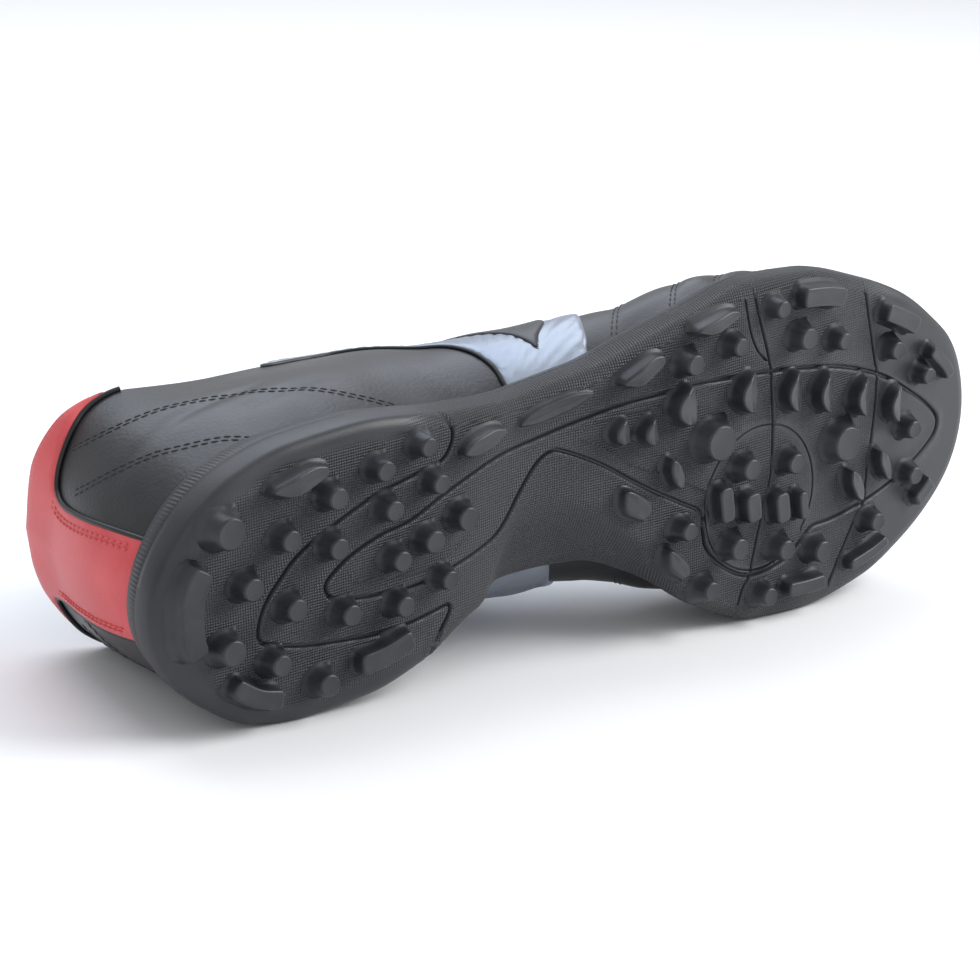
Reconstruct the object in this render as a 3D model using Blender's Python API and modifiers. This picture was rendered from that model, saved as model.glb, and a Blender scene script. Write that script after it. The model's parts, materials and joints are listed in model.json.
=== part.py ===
"""Turf shoe for the right foot, lying on its inner side as on a floor.

The shoe is modelled in its own frame and laid down at the end. In the shoe's
frame +X runs from heel to toe, +Y to the inner (medial) side and +Z up from the
tread, and z = 0 is the flat of the tread between the studs. All sizes are in
metres.
"""
import functools
import math

import bmesh
import bpy
import numpy as np
from mathutils import Matrix, Vector
from mathutils.bvhtree import BVHTree

# Driving sizes of the sole
LENGTH = 0.286
BALL_WIDTH = 0.102
HEEL_WIDTH = 0.075
TOE_SPRING = 0.011
ARCH_RISE = 0.0045
HEEL_BEVEL = 0.003
SCOOP_DEPTH = 0.007
HEEL_FLOOR = 0.012
BALL_FLOOR = 0.0075
RIM_HEIGHT = 0.0065
RIM_LEAN = 0.0019
RIM_WALL = 0.0024
EDGE_RADIUS = 0.0028
SIDE_STEP = 0.0009
STUD_HEIGHT = 0.0055
STUD_RADIUS = 0.003
STUD_FLARE = 0.0016
STUD_ROOT = 0.0030

# Driving sizes of the upper and what goes with it
UPPER_WALL = 0.0022
COLLAR_WIDTH = 0.072
HEEL_HEIGHT = 0.084
ANKLE_HEIGHT = 0.067
INSTEP_HEIGHT = 0.093
VAMP_HEIGHT = 0.061
TOE_HEIGHT = 0.037
THROAT_WIDTH = 0.030
TOE_BOX_SHARE = 0.900
OVERLAY_THICKNESS = 0.0011
EYESTAY_WIDTH = 0.017
HOLE_RADIUS = 0.0022
HOLE_INSET = 0.0075
TONGUE_THICKNESS = 0.0042
TONGUE_CLEARANCE = 0.0015
TONGUE_RISE = 0.013
TONGUE_WIDTH = 0.060
TONGUE_FOOT_WIDTH = 0.044
INSOLE_THICKNESS = 0.0040
LACE_WIDTH = 0.0062
LACE_THICKNESS = 0.0013

# Clearance that touching pieces keep
GAP = 0.0003

# Mesh resolution: stations from heel to toe on each side, and rows up the wall
STATIONS = 29
WALL_ROWS = 10
ACROSS = 5

# Outline of the sole. Shares of the length, and of half the local width.
OUTLINE = (
    # along, medial, lateral
    (0.02, 0.490, 0.430),
    (0.05, 0.730, 0.700),
    (0.09, 0.910, 0.885),
    (0.15, 0.990, 1.000),
    (0.22, 0.965, 1.025),
    (0.29, 0.830, 0.965),
    (0.35, 0.600, 0.875),
    (0.42, 0.470, 0.780),
    (0.49, 0.440, 0.768),
    (0.55, 0.550, 0.820),
    (0.61, 0.775, 0.892),
    (0.68, 0.950, 0.980),
    (0.76, 0.995, 0.947),
    (0.84, 0.940, 0.805),
    (0.90, 0.815, 0.650),
    (0.95, 0.645, 0.440),
    (0.98, 0.475, 0.270),
)
HEEL_TIP = 0.05
TOE_TIP = 0.12

# Crest between the tread and the scooped arch. Shares as in the outline.
CREST = (
    # along, across (medial is positive)
    (0.36, 0.45),
    (0.38, 0.13),
    (0.41, -0.12),
    (0.44, -0.16),
    (0.47, -0.06),
    (0.50, 0.08),
    (0.53, 0.27),
    (0.57, 0.48),
)

# Top line of the upper, from the back of the heel over the collar, along the
# throat and down the ridge of the vamp to the toe.
TOP_LINE = (
    # foot along, top along, half width, height, roundness
    (0.000, 0.052, 0.000, HEEL_HEIGHT, 0.00),
    (0.020, 0.058, 0.430 * COLLAR_WIDTH / 2, HEEL_HEIGHT - 0.001, 0.00),
    (0.060, 0.083, 0.820 * COLLAR_WIDTH / 2, HEEL_HEIGHT - 0.006, 0.00),
    (0.120, 0.135, 1.000 * COLLAR_WIDTH / 2, ANKLE_HEIGHT + 0.005, 0.00),
    (0.200, 0.215, 1.000 * COLLAR_WIDTH / 2, ANKLE_HEIGHT, 0.05),
    (0.270, 0.285, 0.950 * COLLAR_WIDTH / 2, ANKLE_HEIGHT + 0.005, 0.15),
    (0.330, 0.345, 0.810 * COLLAR_WIDTH / 2, INSTEP_HEIGHT - 0.009, 0.30),
    (0.380, 0.390, 0.580 * COLLAR_WIDTH / 2, INSTEP_HEIGHT, 0.50),
    (0.430, 0.440, 0.500 * THROAT_WIDTH, INSTEP_HEIGHT - 0.009, 0.66),
    (0.490, 0.500, 0.460 * THROAT_WIDTH, 0.45 * INSTEP_HEIGHT + 0.55 * VAMP_HEIGHT, 0.76),
    (0.540, 0.550, 0.400 * THROAT_WIDTH, 0.22 * INSTEP_HEIGHT + 0.78 * VAMP_HEIGHT, 0.84),
    (0.580, 0.590, 0.280 * THROAT_WIDTH, VAMP_HEIGHT + 0.002, 0.90),
)
THROAT_END = 0.60
RIDGE = (
    # foot along, top along, drop from the vamp's height to the toe's
    (0.600, 0.610, 0.00),
    (0.680, 0.685, 0.34),
    (0.760, 0.755, 0.60),
    (0.840, 0.820, 0.80),
    (0.900, 0.860, 0.90),
    (0.950, 0.885, 0.96),
    (1.000, TOE_BOX_SHARE, 1.00),
)

# How far the wall bulges out over its foot, and how high, on each side.
# Shares of half the ball width and of the wall's height.
BULGE = (
    # along, medial out, lateral out, medial up, lateral up
    (0.00, 0.07, 0.07, 0.40, 0.40),
    (0.10, 0.10, 0.12, 0.42, 0.42),
    (0.22, 0.13, 0.17, 0.42, 0.42),
    (0.32, 0.42, 0.25, 0.32, 0.40),
    (0.40, 0.68, 0.33, 0.24, 0.38),
    (0.47, 0.72, 0.29, 0.24, 0.40),
    (0.55, 0.53, 0.20, 0.28, 0.44),
    (0.64, 0.20, 0.11, 0.40, 0.48),
    (0.80, 0.05, 0.06, 0.55, 0.52),
    (1.00, 0.02, 0.02, 0.62, 0.62),
)

# Line that the throat and the ridge of the vamp follow across the shoe
CENTRE_LINE = ((0.0, 0.00), (0.30, 0.03), (0.50, 0.07), (0.70, 0.10), (1.0, 0.12))

# Round studs, with the size as a share of the stud's radius
ROUND_STUDS = (
    # along, across (medial is positive), size
    (0.068, -0.68, 1.45),
    (0.130, -0.39, 1.00),
    (0.181, -0.58, 1.00),
    (0.233, -0.68, 0.95),
    (0.282, -0.80, 0.90),
    (0.180, -0.23, 1.00),
    (0.241, -0.39, 0.95),
    (0.295, -0.51, 0.90),
    (0.248, -0.02, 0.95),
    (0.286, -0.09, 1.05),
    (0.327, -0.19, 1.10),
    (0.133, 0.12, 1.05),
    (0.191, 0.27, 1.00),
    (0.250, 0.34, 0.95),
    (0.303, 0.29, 0.90),
    (0.088, -0.13, 1.05),
    (0.065, 0.36, 1.20),
    (0.114, 0.50, 1.00),
    (0.164, 0.73, 1.05),
    (0.592, -0.74, 1.00),
    (0.649, -0.71, 0.90),
    (0.704, -0.84, 0.85),
    (0.739, -0.64, 1.05),
    (0.790, -0.59, 0.85),
    (0.869, -0.52, 0.90),
    (0.918, -0.29, 0.82),
    (0.896, 0.14, 0.90),
    (0.663, 0.03, 1.05),
    (0.723, 0.075, 1.00),
    (0.647, 0.52, 1.05),
    (0.710, 0.57, 1.00),
    (0.584, 0.41, 0.90),
    (0.611, 0.84, 0.95),
    (0.687, 0.83, 0.90),
    (0.761, 0.64, 1.05),
    (0.841, 0.62, 0.90),
    (0.899, 0.48, 0.88),
    (0.624, -0.19, 1.70),
    (0.796, 0.06, 1.70),
)

# Shaped lugs: half moons, leaves and bars, with their size and turn
SHAPED_LUGS = (
    # form, along, across, long, wide, turn in degrees, share of the stud's height
    ("half moon", 0.513, -0.46, 0.0070, 0.0050, 80, 0.75),
    ("half moon", 0.544, -0.39, 0.0076, 0.0052, 80, 0.85),
    ("half moon", 0.584, -0.475, 0.0112, 0.0075, 85, 1.00),
    ("half moon", 0.662, -0.40, 0.0115, 0.0070, 90, 1.00),
    ("half moon", 0.723, -0.33, 0.0115, 0.0065, 92, 1.00),
    ("half moon", 0.767, -0.28, 0.0115, 0.0060, 95, 1.00),
    ("half moon", 0.820, -0.20, 0.0110, 0.0060, 98, 1.00),
    ("half moon", 0.870, -0.09, 0.0105, 0.0055, 102, 1.00),
    ("leaf", 0.574, -0.06, 0.0105, 0.0050, 68, 0.80),
    ("leaf", 0.814, 0.345, 0.0125, 0.0056, 62, 0.90),
    ("leaf", 0.856, 0.30, 0.0120, 0.0050, 62, 0.90),
    ("leaf", 0.446, -0.81, 0.0262, 0.0046, -10, 0.25),
    ("leaf", 0.356, -0.74, 0.0180, 0.0058, -8, 0.75),
    ("bar", 0.633, 0.23, 0.0100, 0.0048, 84, 0.85),
    ("bar", 0.668, 0.275, 0.0082, 0.0052, 84, 0.85),
    ("bar", 0.707, 0.32, 0.0086, 0.0050, 84, 0.85),
    ("bar", 0.736, 0.34, 0.0080, 0.0030, 84, 0.85),
    ("wing", 0.144, -0.75, 0.0205, 0.0066, -3, 0.80),
    ("wing", 0.536, -0.83, 0.0170, 0.0062, -14, 0.80),
    ("wing", 0.624, -0.90, 0.0185, 0.0050, -4, 0.80),
    ("wing", 0.528, 0.15, 0.0130, 0.0080, 50, 0.60),
    ("wing", 0.574, 0.73, 0.0132, 0.0064, 55, 0.75),
)

# Bars that follow the edge of the sole
EDGE_BARS = (
    # side, from, to, inset, width, share of the stud's height
    ("medial", 0.050, 0.110, 0.0082, 0.0050, 0.80),
    ("medial", 0.205, 0.273, 0.0115, 0.0055, 0.80),
    ("medial", 0.712, 0.768, 0.0088, 0.0040, 0.85),
    ("medial", 0.810, 0.872, 0.0090, 0.0030, 0.80),
    ("medial", 0.925, 0.952, 0.0105, 0.0040, 0.80),
    ("lateral", 0.738, 0.800, 0.0062, 0.0055, 0.85),
    ("lateral", 0.866, 0.917, 0.0072, 0.0050, 0.85),
    ("lateral", 0.949, 0.988, 0.0096, 0.0036, 0.80),
)
HEEL_BAR = (0.0072, 0.0064, 0.90)

# Lace holes, as shares of the way down the throat
LACE_ROWS = (0.06, 0.28, 0.50, 0.72, 0.93)

# The collar's front corner, and how far the eyestay and tongue reach down the
# wall from the throat's edge, as a share of the wall
COLLAR_FRONT = 0.385
THROAT_REACH = 0.42

# Outline of the heel counter from the side: its front edge, from the sole up
COUNTER_REACH = 0.27
COUNTER = {
    # along, share of the heel's height over the rim
    "lateral": ((0.031, 0.00), (0.025, 0.20), (0.026, 0.44), (0.032, 0.63), (0.041, 0.74),
                (0.060, 0.80), (0.098, 0.855), (0.140, 0.88)),
    "medial": ((0.022, 0.00), (0.016, 0.20), (0.018, 0.44), (0.026, 0.63), (0.037, 0.74),
               (0.060, 0.80), (0.098, 0.855), (0.140, 0.88)),
}

# Outlines of the side panels from the side
PANEL_REACH = (0.15, 0.68)
PANEL_ROWS = 0.6
SIDE_PANEL = {
    # along, share of the ankle's height over the rim
    "lateral": ((0.438, 0.00), (0.530, 0.00), (0.548, 0.22), (0.582, 0.47), (0.600, 0.75),
                (0.300, 1.00), (0.360, 0.90), (0.410, 0.78), (0.436, 0.62), (0.442, 0.35)),
    "medial": ((0.375, 0.00), (0.500, 0.00), (0.522, 0.22), (0.555, 0.47), (0.575, 0.75),
               (0.270, 1.00), (0.320, 0.88), (0.365, 0.70), (0.380, 0.52), (0.382, 0.30)),
}

# Weights of the materials in kilograms a cubic metre
DENSITY = {
    "outsole": 1050.0, "upper": 720.0, "insole": 260.0, "tongue": 260.0,
    "eyestay": 720.0, "heel_counter": 720.0, "side_panel_lateral": 720.0,
    "side_panel_medial": 720.0, "laces": 500.0,
}

SIGN = {"medial": 1.0, "lateral": -1.0}
SIDES = ("lateral", "medial")


def smooth_through(table, column, at):
    """A soft curve through one column of a table, read at one place."""
    xs = [row[0] for row in table]
    ys = [row[column] for row in table]
    at = min(max(at, xs[0]), xs[-1])
    slopes = [(ys[i + 1] - ys[i]) / (xs[i + 1] - xs[i]) for i in range(len(xs) - 1)]
    ends = [slopes[0]]
    for before, after in zip(slopes[:-1], slopes[1:]):
        ends.append(0.0 if before * after <= 0 else 2 * before * after / (before + after))
    ends.append(slopes[-1])
    i = max(k for k in range(len(xs) - 1) if xs[k] <= at)
    width = xs[i + 1] - xs[i]
    t = (at - xs[i]) / width
    return ((2 * t**3 - 3 * t**2 + 1) * ys[i] + (t**3 - 2 * t**2 + t) * width * ends[i]
            + (3 * t**2 - 2 * t**3) * ys[i + 1] + (t**3 - t**2) * width * ends[i + 1])


def ease(low, high, at):
    t = min(max((at - low) / (high - low), 0.0), 1.0)
    return t * t * (3 - 2 * t)


def angle_of(along):
    """Share of the length as an angle, so that both ends close as round arcs."""
    return math.acos(min(max(1 - 2 * along, -1.0), 1.0))


def along_of(station):
    return (1 - math.cos(math.pi * station / STATIONS)) / 2


def local_half_width(along):
    return (HEEL_WIDTH + (BALL_WIDTH - HEEL_WIDTH) * ease(0.30, 0.60, along)) / 2


def edge_share(side, along):
    """Outline of the sole on one side, as a share of half the local width."""
    column = 1 if side == "medial" else 2
    sign = SIGN[side]
    rows = [(0.0, sign * HEEL_TIP)]
    rows += [(angle_of(row[0]), row[column]) for row in OUTLINE]
    rows += [(math.pi, sign * TOE_TIP)]
    return sign * smooth_through(rows, 1, angle_of(along))


def arch_share(along):
    """Rise of the arch, which leaves heel and ball flat."""
    return max(math.exp(-((along - 0.42) / 0.10) ** 2) - 0.03, 0.0) / 0.97


def tread_height(x, y):
    """Underside of the sole between the studs."""
    along = min(max(x / LENGTH, 0.0), 1.0)
    spring = TOE_SPRING * (max(along - 0.60, 0.0) / 0.40) ** 1.8
    arch = ARCH_RISE * arch_share(along)
    bevel = HEEL_BEVEL * (max(0.07 - along, 0.0) / 0.07) ** 2
    half = local_half_width(along)
    crest = smooth_through(CREST, 1, along) * half
    edge = edge_share("medial", along) * half
    fade = ease(0.35, 0.40, along) * (1 - ease(0.54, 0.59, along))
    scoop = SCOOP_DEPTH * fade * ease(crest, max(edge, crest + 0.004), y)
    return spring + arch + bevel + scoop


def floor_height(x):
    """Floor of the cup that the upper and the insole stand on."""
    along = min(max(x / LENGTH, 0.0), 1.0)
    base = HEEL_FLOOR + (BALL_FLOOR - HEEL_FLOOR) * ease(0.25, 0.70, along)
    spring = TOE_SPRING * (max(along - 0.60, 0.0) / 0.40) ** 1.8
    return base + spring + 0.6 * ARCH_RISE * arch_share(along)


def rim_height(x):
    return floor_height(x) + RIM_HEIGHT


def outline_loop():
    """Plan points of the sole's edge, from the heel along the lateral side to
    the toe and back along the medial side, with their outward normals."""
    stations = [("lateral", k) for k in range(STATIONS + 1)]
    stations += [("medial", k) for k in range(STATIONS - 1, 0, -1)]
    points = []
    for side, k in stations:
        along = along_of(k)
        half = local_half_width(along)
        points.append(np.array((along * LENGTH, edge_share(side, along) * half)))
    count = len(points)
    normals = []
    for i in range(count):
        ahead = points[(i + 1) % count] - points[i - 1]
        normal = np.array((ahead[1], -ahead[0]))
        normals.append(normal / np.linalg.norm(normal))
    return stations, np.array(points), np.array(normals)


PLACES, EDGE, OUTWARD = outline_loop()
INDEX = {place: i for i, place in enumerate(PLACES)}
INDEX[("medial", 0)] = INDEX[("lateral", 0)]
INDEX[("medial", STATIONS)] = INDEX[("lateral", STATIONS)]


def inset_loop(inset):
    return EDGE - OUTWARD * inset


def new_object(name, mesh_tool, material, smooth_angle=0.6):
    mesh = bpy.data.meshes.new(name)
    mesh_tool.to_mesh(mesh)
    mesh_tool.free()
    obj = bpy.data.objects.new(name, mesh)
    SHOE.objects.link(obj)
    mesh.materials.append(material)
    mesh.shade_smooth()
    mesh.set_sharp_from_angle(angle=smooth_angle)
    return obj


def material_of(name, colour, roughness, metallic=0.0):
    material = bpy.data.materials.new(name)
    material.use_nodes = True
    shader = material.node_tree.nodes["Principled BSDF"]
    shader.inputs["Base Color"].default_value = (*colour, 1.0)
    shader.inputs["Roughness"].default_value = roughness
    shader.inputs["Metallic"].default_value = metallic
    return material


def ladder_points(loop, k, pieces):
    """Points across the shoe between two opposite points of a loop."""
    start = loop[INDEX[("lateral", k)]]
    end = loop[INDEX[("medial", k)]]
    return [start + (end - start) * n / pieces for n in range(pieces + 1)]


def fill_loop(bm, ring, loop, height, pieces, upward):
    """Close a loop with strips across the shoe, at the height of a function."""
    rows = []
    for k in range(1, STATIONS):
        row = [ring[INDEX[("lateral", k)]]]
        for x, y in ladder_points(loop, k, pieces)[1:-1]:
            row.append(bm.verts.new((x, y, height(x, y))))
        row.append(ring[INDEX[("medial", k)]])
        rows.append(row)
    heel = ring[INDEX[("lateral", 0)]]
    toe = ring[INDEX[("lateral", STATIONS)]]
    faces = []
    for a, b in zip(rows[:-1], rows[1:]):
        faces += [(a[n], b[n], b[n + 1], a[n + 1]) for n in range(pieces)]
    faces += [(heel, rows[0][n], rows[0][n + 1]) for n in range(pieces)]
    faces += [(rows[-1][n], toe, rows[-1][n + 1]) for n in range(pieces)]
    for corners in faces:
        bm.faces.new(corners if upward else corners[::-1])


def ring_stack(bm, levels):
    """Rings of vertices around the outline, one for each inset and height,
    joined by faces. A height is a function of x and y."""
    rings = []
    for inset, height in levels:
        loop = inset_loop(inset)
        rings.append([bm.verts.new((x, y, height(x, y))) for x, y in loop])
    count = len(EDGE)
    for low, high in zip(rings[:-1], rings[1:]):
        for i in range(count):
            j = (i + 1) % count
            bm.faces.new((low[i], low[j], high[j], high[i]))
    return rings


def make_outsole():
    tread_inset = 3.5 * EDGE_RADIUS
    inner_inset = RIM_LEAN + RIM_WALL

    def lifted(share, rise):
        def height(x, y):
            low = tread_height(x, y)
            return low + (rim_height(x) - low) * share + rise
        return height

    def floor(x, y):
        return floor_height(x)

    levels = (
        (tread_inset, tread_height),
        (1.3 * EDGE_RADIUS, tread_height),
        (0.5 * EDGE_RADIUS, lifted(0.0, 0.3 * EDGE_RADIUS)),
        (0.0, lifted(0.0, EDGE_RADIUS)),
        (0.15 * RIM_LEAN, lifted(0.55, 0.0)),
        (0.15 * RIM_LEAN + SIDE_STEP, lifted(0.55, 0.4 * SIDE_STEP)),
        (RIM_LEAN, lifted(1.0, -0.6 * RIM_WALL / 2)),
        (RIM_LEAN + 0.3 * RIM_WALL, lifted(1.0, 0.0)),
        (inner_inset, lifted(1.0, 0.0)),
        (inner_inset, floor),
        (3.0 * inner_inset, floor),
    )
    bm = bmesh.new()
    rings = ring_stack(bm, levels)
    fill_loop(bm, rings[0], inset_loop(tread_inset), tread_height, ACROSS, upward=False)
    fill_loop(bm, rings[-1], inset_loop(3.0 * inner_inset), floor, 2, upward=True)
    bmesh.ops.recalc_face_normals(bm, faces=bm.faces)
    sole = new_object("outsole", bm, RUBBER)
    lugs = make_lugs()
    union = sole.modifiers.new("lugs", "BOOLEAN")
    union.operation = "UNION"
    union.object = lugs
    union.solver = "EXACT"
    union.use_self = True
    return sole


def cap_faces(ring):
    """Strips across a ring of corners, from its first corner to its middle."""
    last = len(ring) - 1
    strips = []
    for i in range(last // 2):
        corners = [ring[i], ring[i + 1], ring[last - i]]
        if i + 1 < last - i - 1:
            corners.insert(2, ring[last - i - 1])
        strips.append(corners)
    return strips


def add_lug(bm, plan, height, flat=False):
    """One lug on the tread, with a sunk root. Its top is flat or follows the tread."""
    plan = np.array(plan)
    middle = plan.mean(axis=0)
    base = tread_height(*middle)
    reach = np.linalg.norm(plan - middle, axis=1, keepdims=True)
    root = middle + (plan - middle) * (1 + STUD_FLARE / reach)
    tops = [bm.verts.new((x, y, (base if flat else tread_height(x, y)) - height))
            for x, y in plan]
    roots = [bm.verts.new((x, y, tread_height(x, y) + STUD_ROOT)) for x, y in root]
    count = len(plan)
    faces = [bm.faces.new(corners) for corners in cap_faces(tops)]
    faces += [bm.faces.new(corners[::-1]) for corners in cap_faces(roots)]
    for i in range(count):
        j = (i + 1) % count
        faces.append(bm.faces.new((tops[i], roots[i], roots[j], tops[j])))
    faces = bmesh.ops.triangulate(bm, faces=faces)["faces"]
    bmesh.ops.recalc_face_normals(bm, faces=faces)


def on_sole(along, across):
    half = local_half_width(along)
    side = "medial" if across > 0 else "lateral"
    return np.array((along * LENGTH, abs(across) * edge_share(side, along) * half))


def form_of(kind, long, wide):
    """Plan of a shaped lug around its own middle, its long way along X."""
    a, b = long / 2, wide / 2
    if kind == "half moon":
        arc = [math.pi * n / 6 for n in range(7)]
        return [(a * math.cos(t), -b + 2 * b * math.sin(t)) for t in arc]
    if kind == "leaf":
        return [(-a, 0), (-0.45 * a, -0.8 * b), (0.45 * a, -0.8 * b), (a, 0),
                (0.45 * a, 0.8 * b), (-0.45 * a, 0.8 * b)]
    if kind == "bar":
        return [(-a, -0.6 * b), (-0.8 * a, -b), (0.8 * a, -b), (a, -0.6 * b),
                (a, 0.6 * b), (0.8 * a, b), (-0.8 * a, b), (-a, 0.6 * b)]
    return [(-a, -0.2 * b), (0.5 * a, -b), (a, -0.5 * b), (0.9 * a, 0.3 * b), (-0.2 * a, b)]


def make_lugs():
    bm = bmesh.new()
    for along, across, size in ROUND_STUDS:
        middle = on_sole(along, across)
        radius = STUD_RADIUS * size
        turns = [2 * math.pi * n / 8 for n in range(8)]
        plan = [middle + radius * np.array((math.cos(t), math.sin(t))) for t in turns]
        add_lug(bm, plan, STUD_HEIGHT, flat=True)
    for kind, along, across, long, wide, degrees, share in SHAPED_LUGS:
        middle = on_sole(along, across)
        turn = math.radians(degrees)
        plan = [middle + np.array((x * math.cos(turn) - y * math.sin(turn),
                                   x * math.sin(turn) + y * math.cos(turn)))
                for x, y in form_of(kind, long, wide)]
        add_lug(bm, plan, share * STUD_HEIGHT)
    for side, start, stop, inset, width, share in EDGE_BARS:
        add_lug(bm, edge_bar(side, start, stop, inset, width), share * STUD_HEIGHT)
    inset, width, share = HEEL_BAR
    add_lug(bm, heel_bar(inset, width), share * STUD_HEIGHT)
    return as_tool(new_object("lug cutter", bm, RUBBER))


def edge_place(side, along, inset):
    """A point at some inset from the edge of the sole."""
    step = 0.002
    here = np.array((along * LENGTH, edge_share(side, along) * local_half_width(along)))
    low, high = max(along - step, 0.0), min(along + step, 1.0)
    ahead = np.array(((high - low) * LENGTH,
                      edge_share(side, high) * local_half_width(high)
                      - edge_share(side, low) * local_half_width(low)))
    inward = np.array((ahead[1], -ahead[0])) * SIGN[side]
    return here + inward / np.linalg.norm(inward) * inset


def edge_bar(side, start, stop, inset, width):
    places = [start + (stop - start) * n / 4 for n in range(5)]
    outer = [edge_place(side, along, inset - width / 2) for along in places]
    inner = [edge_place(side, along, inset + width / 2) for along in places]
    return outer + inner[::-1]


def heel_bar(inset, width):
    """Curved bar just inside the back edge of the heel."""
    places = [("lateral", s) for s in (0.020, 0.010, 0.003)]
    places += [("medial", s) for s in (0.003, 0.010)]
    outer = [edge_place(*place, inset - width / 2) for place in places]
    inner = [edge_place(*place, inset + width / 2) for place in places]
    return outer + inner[::-1]


def centre_of(along):
    return smooth_through(CENTRE_LINE, 1, along) * BALL_WIDTH / 2


def top_point(side, along):
    """Collar, throat or ridge point over a place on the outline."""
    if along < THROAT_END:
        last = (THROAT_END, RIDGE[0][1], 0.0, VAMP_HEIGHT, 0.92)
        rows = [(angle_of(row[0]), *row[1:]) for row in (*TOP_LINE, last)]
        x = smooth_through(rows, 1, angle_of(along)) * LENGTH
        half = smooth_through(rows, 2, angle_of(along))
        z = smooth_through(rows, 3, angle_of(along))
    else:
        x = smooth_through(RIDGE, 1, along) * LENGTH
        half = 0.0
        z = VAMP_HEIGHT + (TOE_HEIGHT - VAMP_HEIGHT) * smooth_through(RIDGE, 2, along)
    return np.array((x, centre_of(x / LENGTH) + SIGN[side] * half, z))


def roundness(along):
    if along >= THROAT_END:
        return 1.0
    rows = [*TOP_LINE, (THROAT_END, 0, 0, 0, 0.97)]
    return smooth_through(rows, 4, along)


def upper_frame(side, k):
    """Foot, rim and control points of the upper's outer wall at a station."""
    along = along_of(k)
    i = INDEX[(side, k)]
    inset = RIM_LEAN + RIM_WALL + GAP
    plan = EDGE[i] - OUTWARD[i] * inset
    foot = np.array((*plan, floor_height(plan[0]) + GAP))
    rim = np.array((*plan, rim_height(EDGE[i][0] - OUTWARD[i][0] * inset) + GAP))
    top = top_point(side, along)
    column = 1 if side == "medial" else 2
    out = smooth_through(BULGE, column, along) * BALL_WIDTH / 2
    up = smooth_through(BULGE, column + 2, along)
    rise = top[2] - rim[2]
    low = np.array((*(plan + OUTWARD[i] * out), rim[2] + up * rise))
    soft = roundness(along)
    lean = low[:2] - top[:2]
    reach = 0.30 + 0.26 * soft
    high = np.array((*(top[:2] + lean * reach), top[2] - (1 - soft) * 0.36 * rise))
    return foot, rim, low, high, top


def upper_point(side, k, v):
    """Outer surface of the upper: v runs from the floor of the cup, 0, to the
    collar, throat or ridge, 1."""
    foot, rim, low, high, top = upper_frame(side, k)
    at_rim = 1.0 / WALL_ROWS
    if v <= at_rim:
        return foot + (rim - foot) * v / at_rim
    t = (v - at_rim) / (1 - at_rim)
    return ((1 - t)**3 * rim + 3 * t * (1 - t)**2 * low
            + 3 * t**2 * (1 - t) * high + t**3 * top)


def upper_between(side, station, v):
    """The same surface at any place between two stations."""
    k = min(int(station), STATIONS - 1)
    share = station - k
    return upper_point(side, k, v) * (1 - share) + upper_point(side, k + 1, v) * share


def throat_station():
    """The last station with an open throat over it."""
    return max(k for k in range(STATIONS + 1) if along_of(k) < THROAT_END)


def upper_surface():
    """The upper's outer surface as an open mesh: two sides that meet at the
    heel, along the ridge of the vamp and at the toe. Each face keeps its place."""
    bm = bmesh.new()
    grid = {}
    for side in SIDES:
        for k in range(STATIONS + 1):
            for row in range(WALL_ROWS + 1):
                shared = k in (0, STATIONS) or (row == WALL_ROWS and k > throat_station())
                if shared and side == "medial":
                    grid[(side, k, row)] = grid[("lateral", k, row)]
                    continue
                place = upper_point(side, k, row / WALL_ROWS)
                grid[(side, k, row)] = bm.verts.new(place)
    places = {}
    for side in SIDES:
        for k in range(STATIONS):
            for row in range(WALL_ROWS):
                corners = (grid[(side, k, row)], grid[(side, k + 1, row)],
                           grid[(side, k + 1, row + 1)], grid[(side, k, row + 1)])
                for half in (corners[:3], (corners[0], corners[2], corners[3])):
                    face = bm.faces.new(half if side == "lateral" else half[::-1])
                    places[face] = (side, k, row)
    bm.normal_update()
    return bm, places


def make_upper():
    bm, _ = upper_surface()
    upper = new_object("upper", bm, BLACK_LEATHER)
    wall = upper.modifiers.new("wall", "SOLIDIFY")
    wall.thickness = UPPER_WALL
    wall.offset = -1.0
    return upper


def as_tool(obj):
    obj.hide_render = True
    obj.display_type = "WIRE"
    SHOE.objects.unlink(obj)
    TOOLS.objects.link(obj)
    return obj


def outline_cutter(name, rings):
    """An outline carried through space, one ring of points after another, as a
    cookie cutter."""
    bm = bmesh.new()
    corners = [[bm.verts.new(point) for point in ring] for ring in rings]
    bm.faces.new(corners[0])
    bm.faces.new(corners[-1][::-1])
    count = len(rings[0])
    for near, far in zip(corners[:-1], corners[1:]):
        for i in range(count):
            j = (i + 1) % count
            bm.faces.new((near[i], near[j], far[j], far[i]))
    bmesh.ops.triangulate(bm, faces=bm.faces)
    bmesh.ops.recalc_face_normals(bm, faces=bm.faces)
    return as_tool(new_object(name, bm, RUBBER))


def overlay(name, keep, cutter, material):
    """A panel on the upper: a layer over the faces that keep is true for, cut
    to its outline."""
    bm, places = upper_surface()
    for vertex in bm.verts:
        vertex.co += vertex.normal * GAP
    spare = [face for face, place in places.items() if not keep(*place)]
    bmesh.ops.delete(bm, geom=spare, context="FACES")
    panel = new_object(name, bm, material)
    layer = panel.modifiers.new("layer", "SOLIDIFY")
    layer.thickness = OVERLAY_THICKNESS
    layer.offset = 1.0
    cut = panel.modifiers.new("outline", "BOOLEAN")
    cut.operation = "INTERSECT"
    cut.object = cutter
    cut.solver = "EXACT"
    return panel


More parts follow.
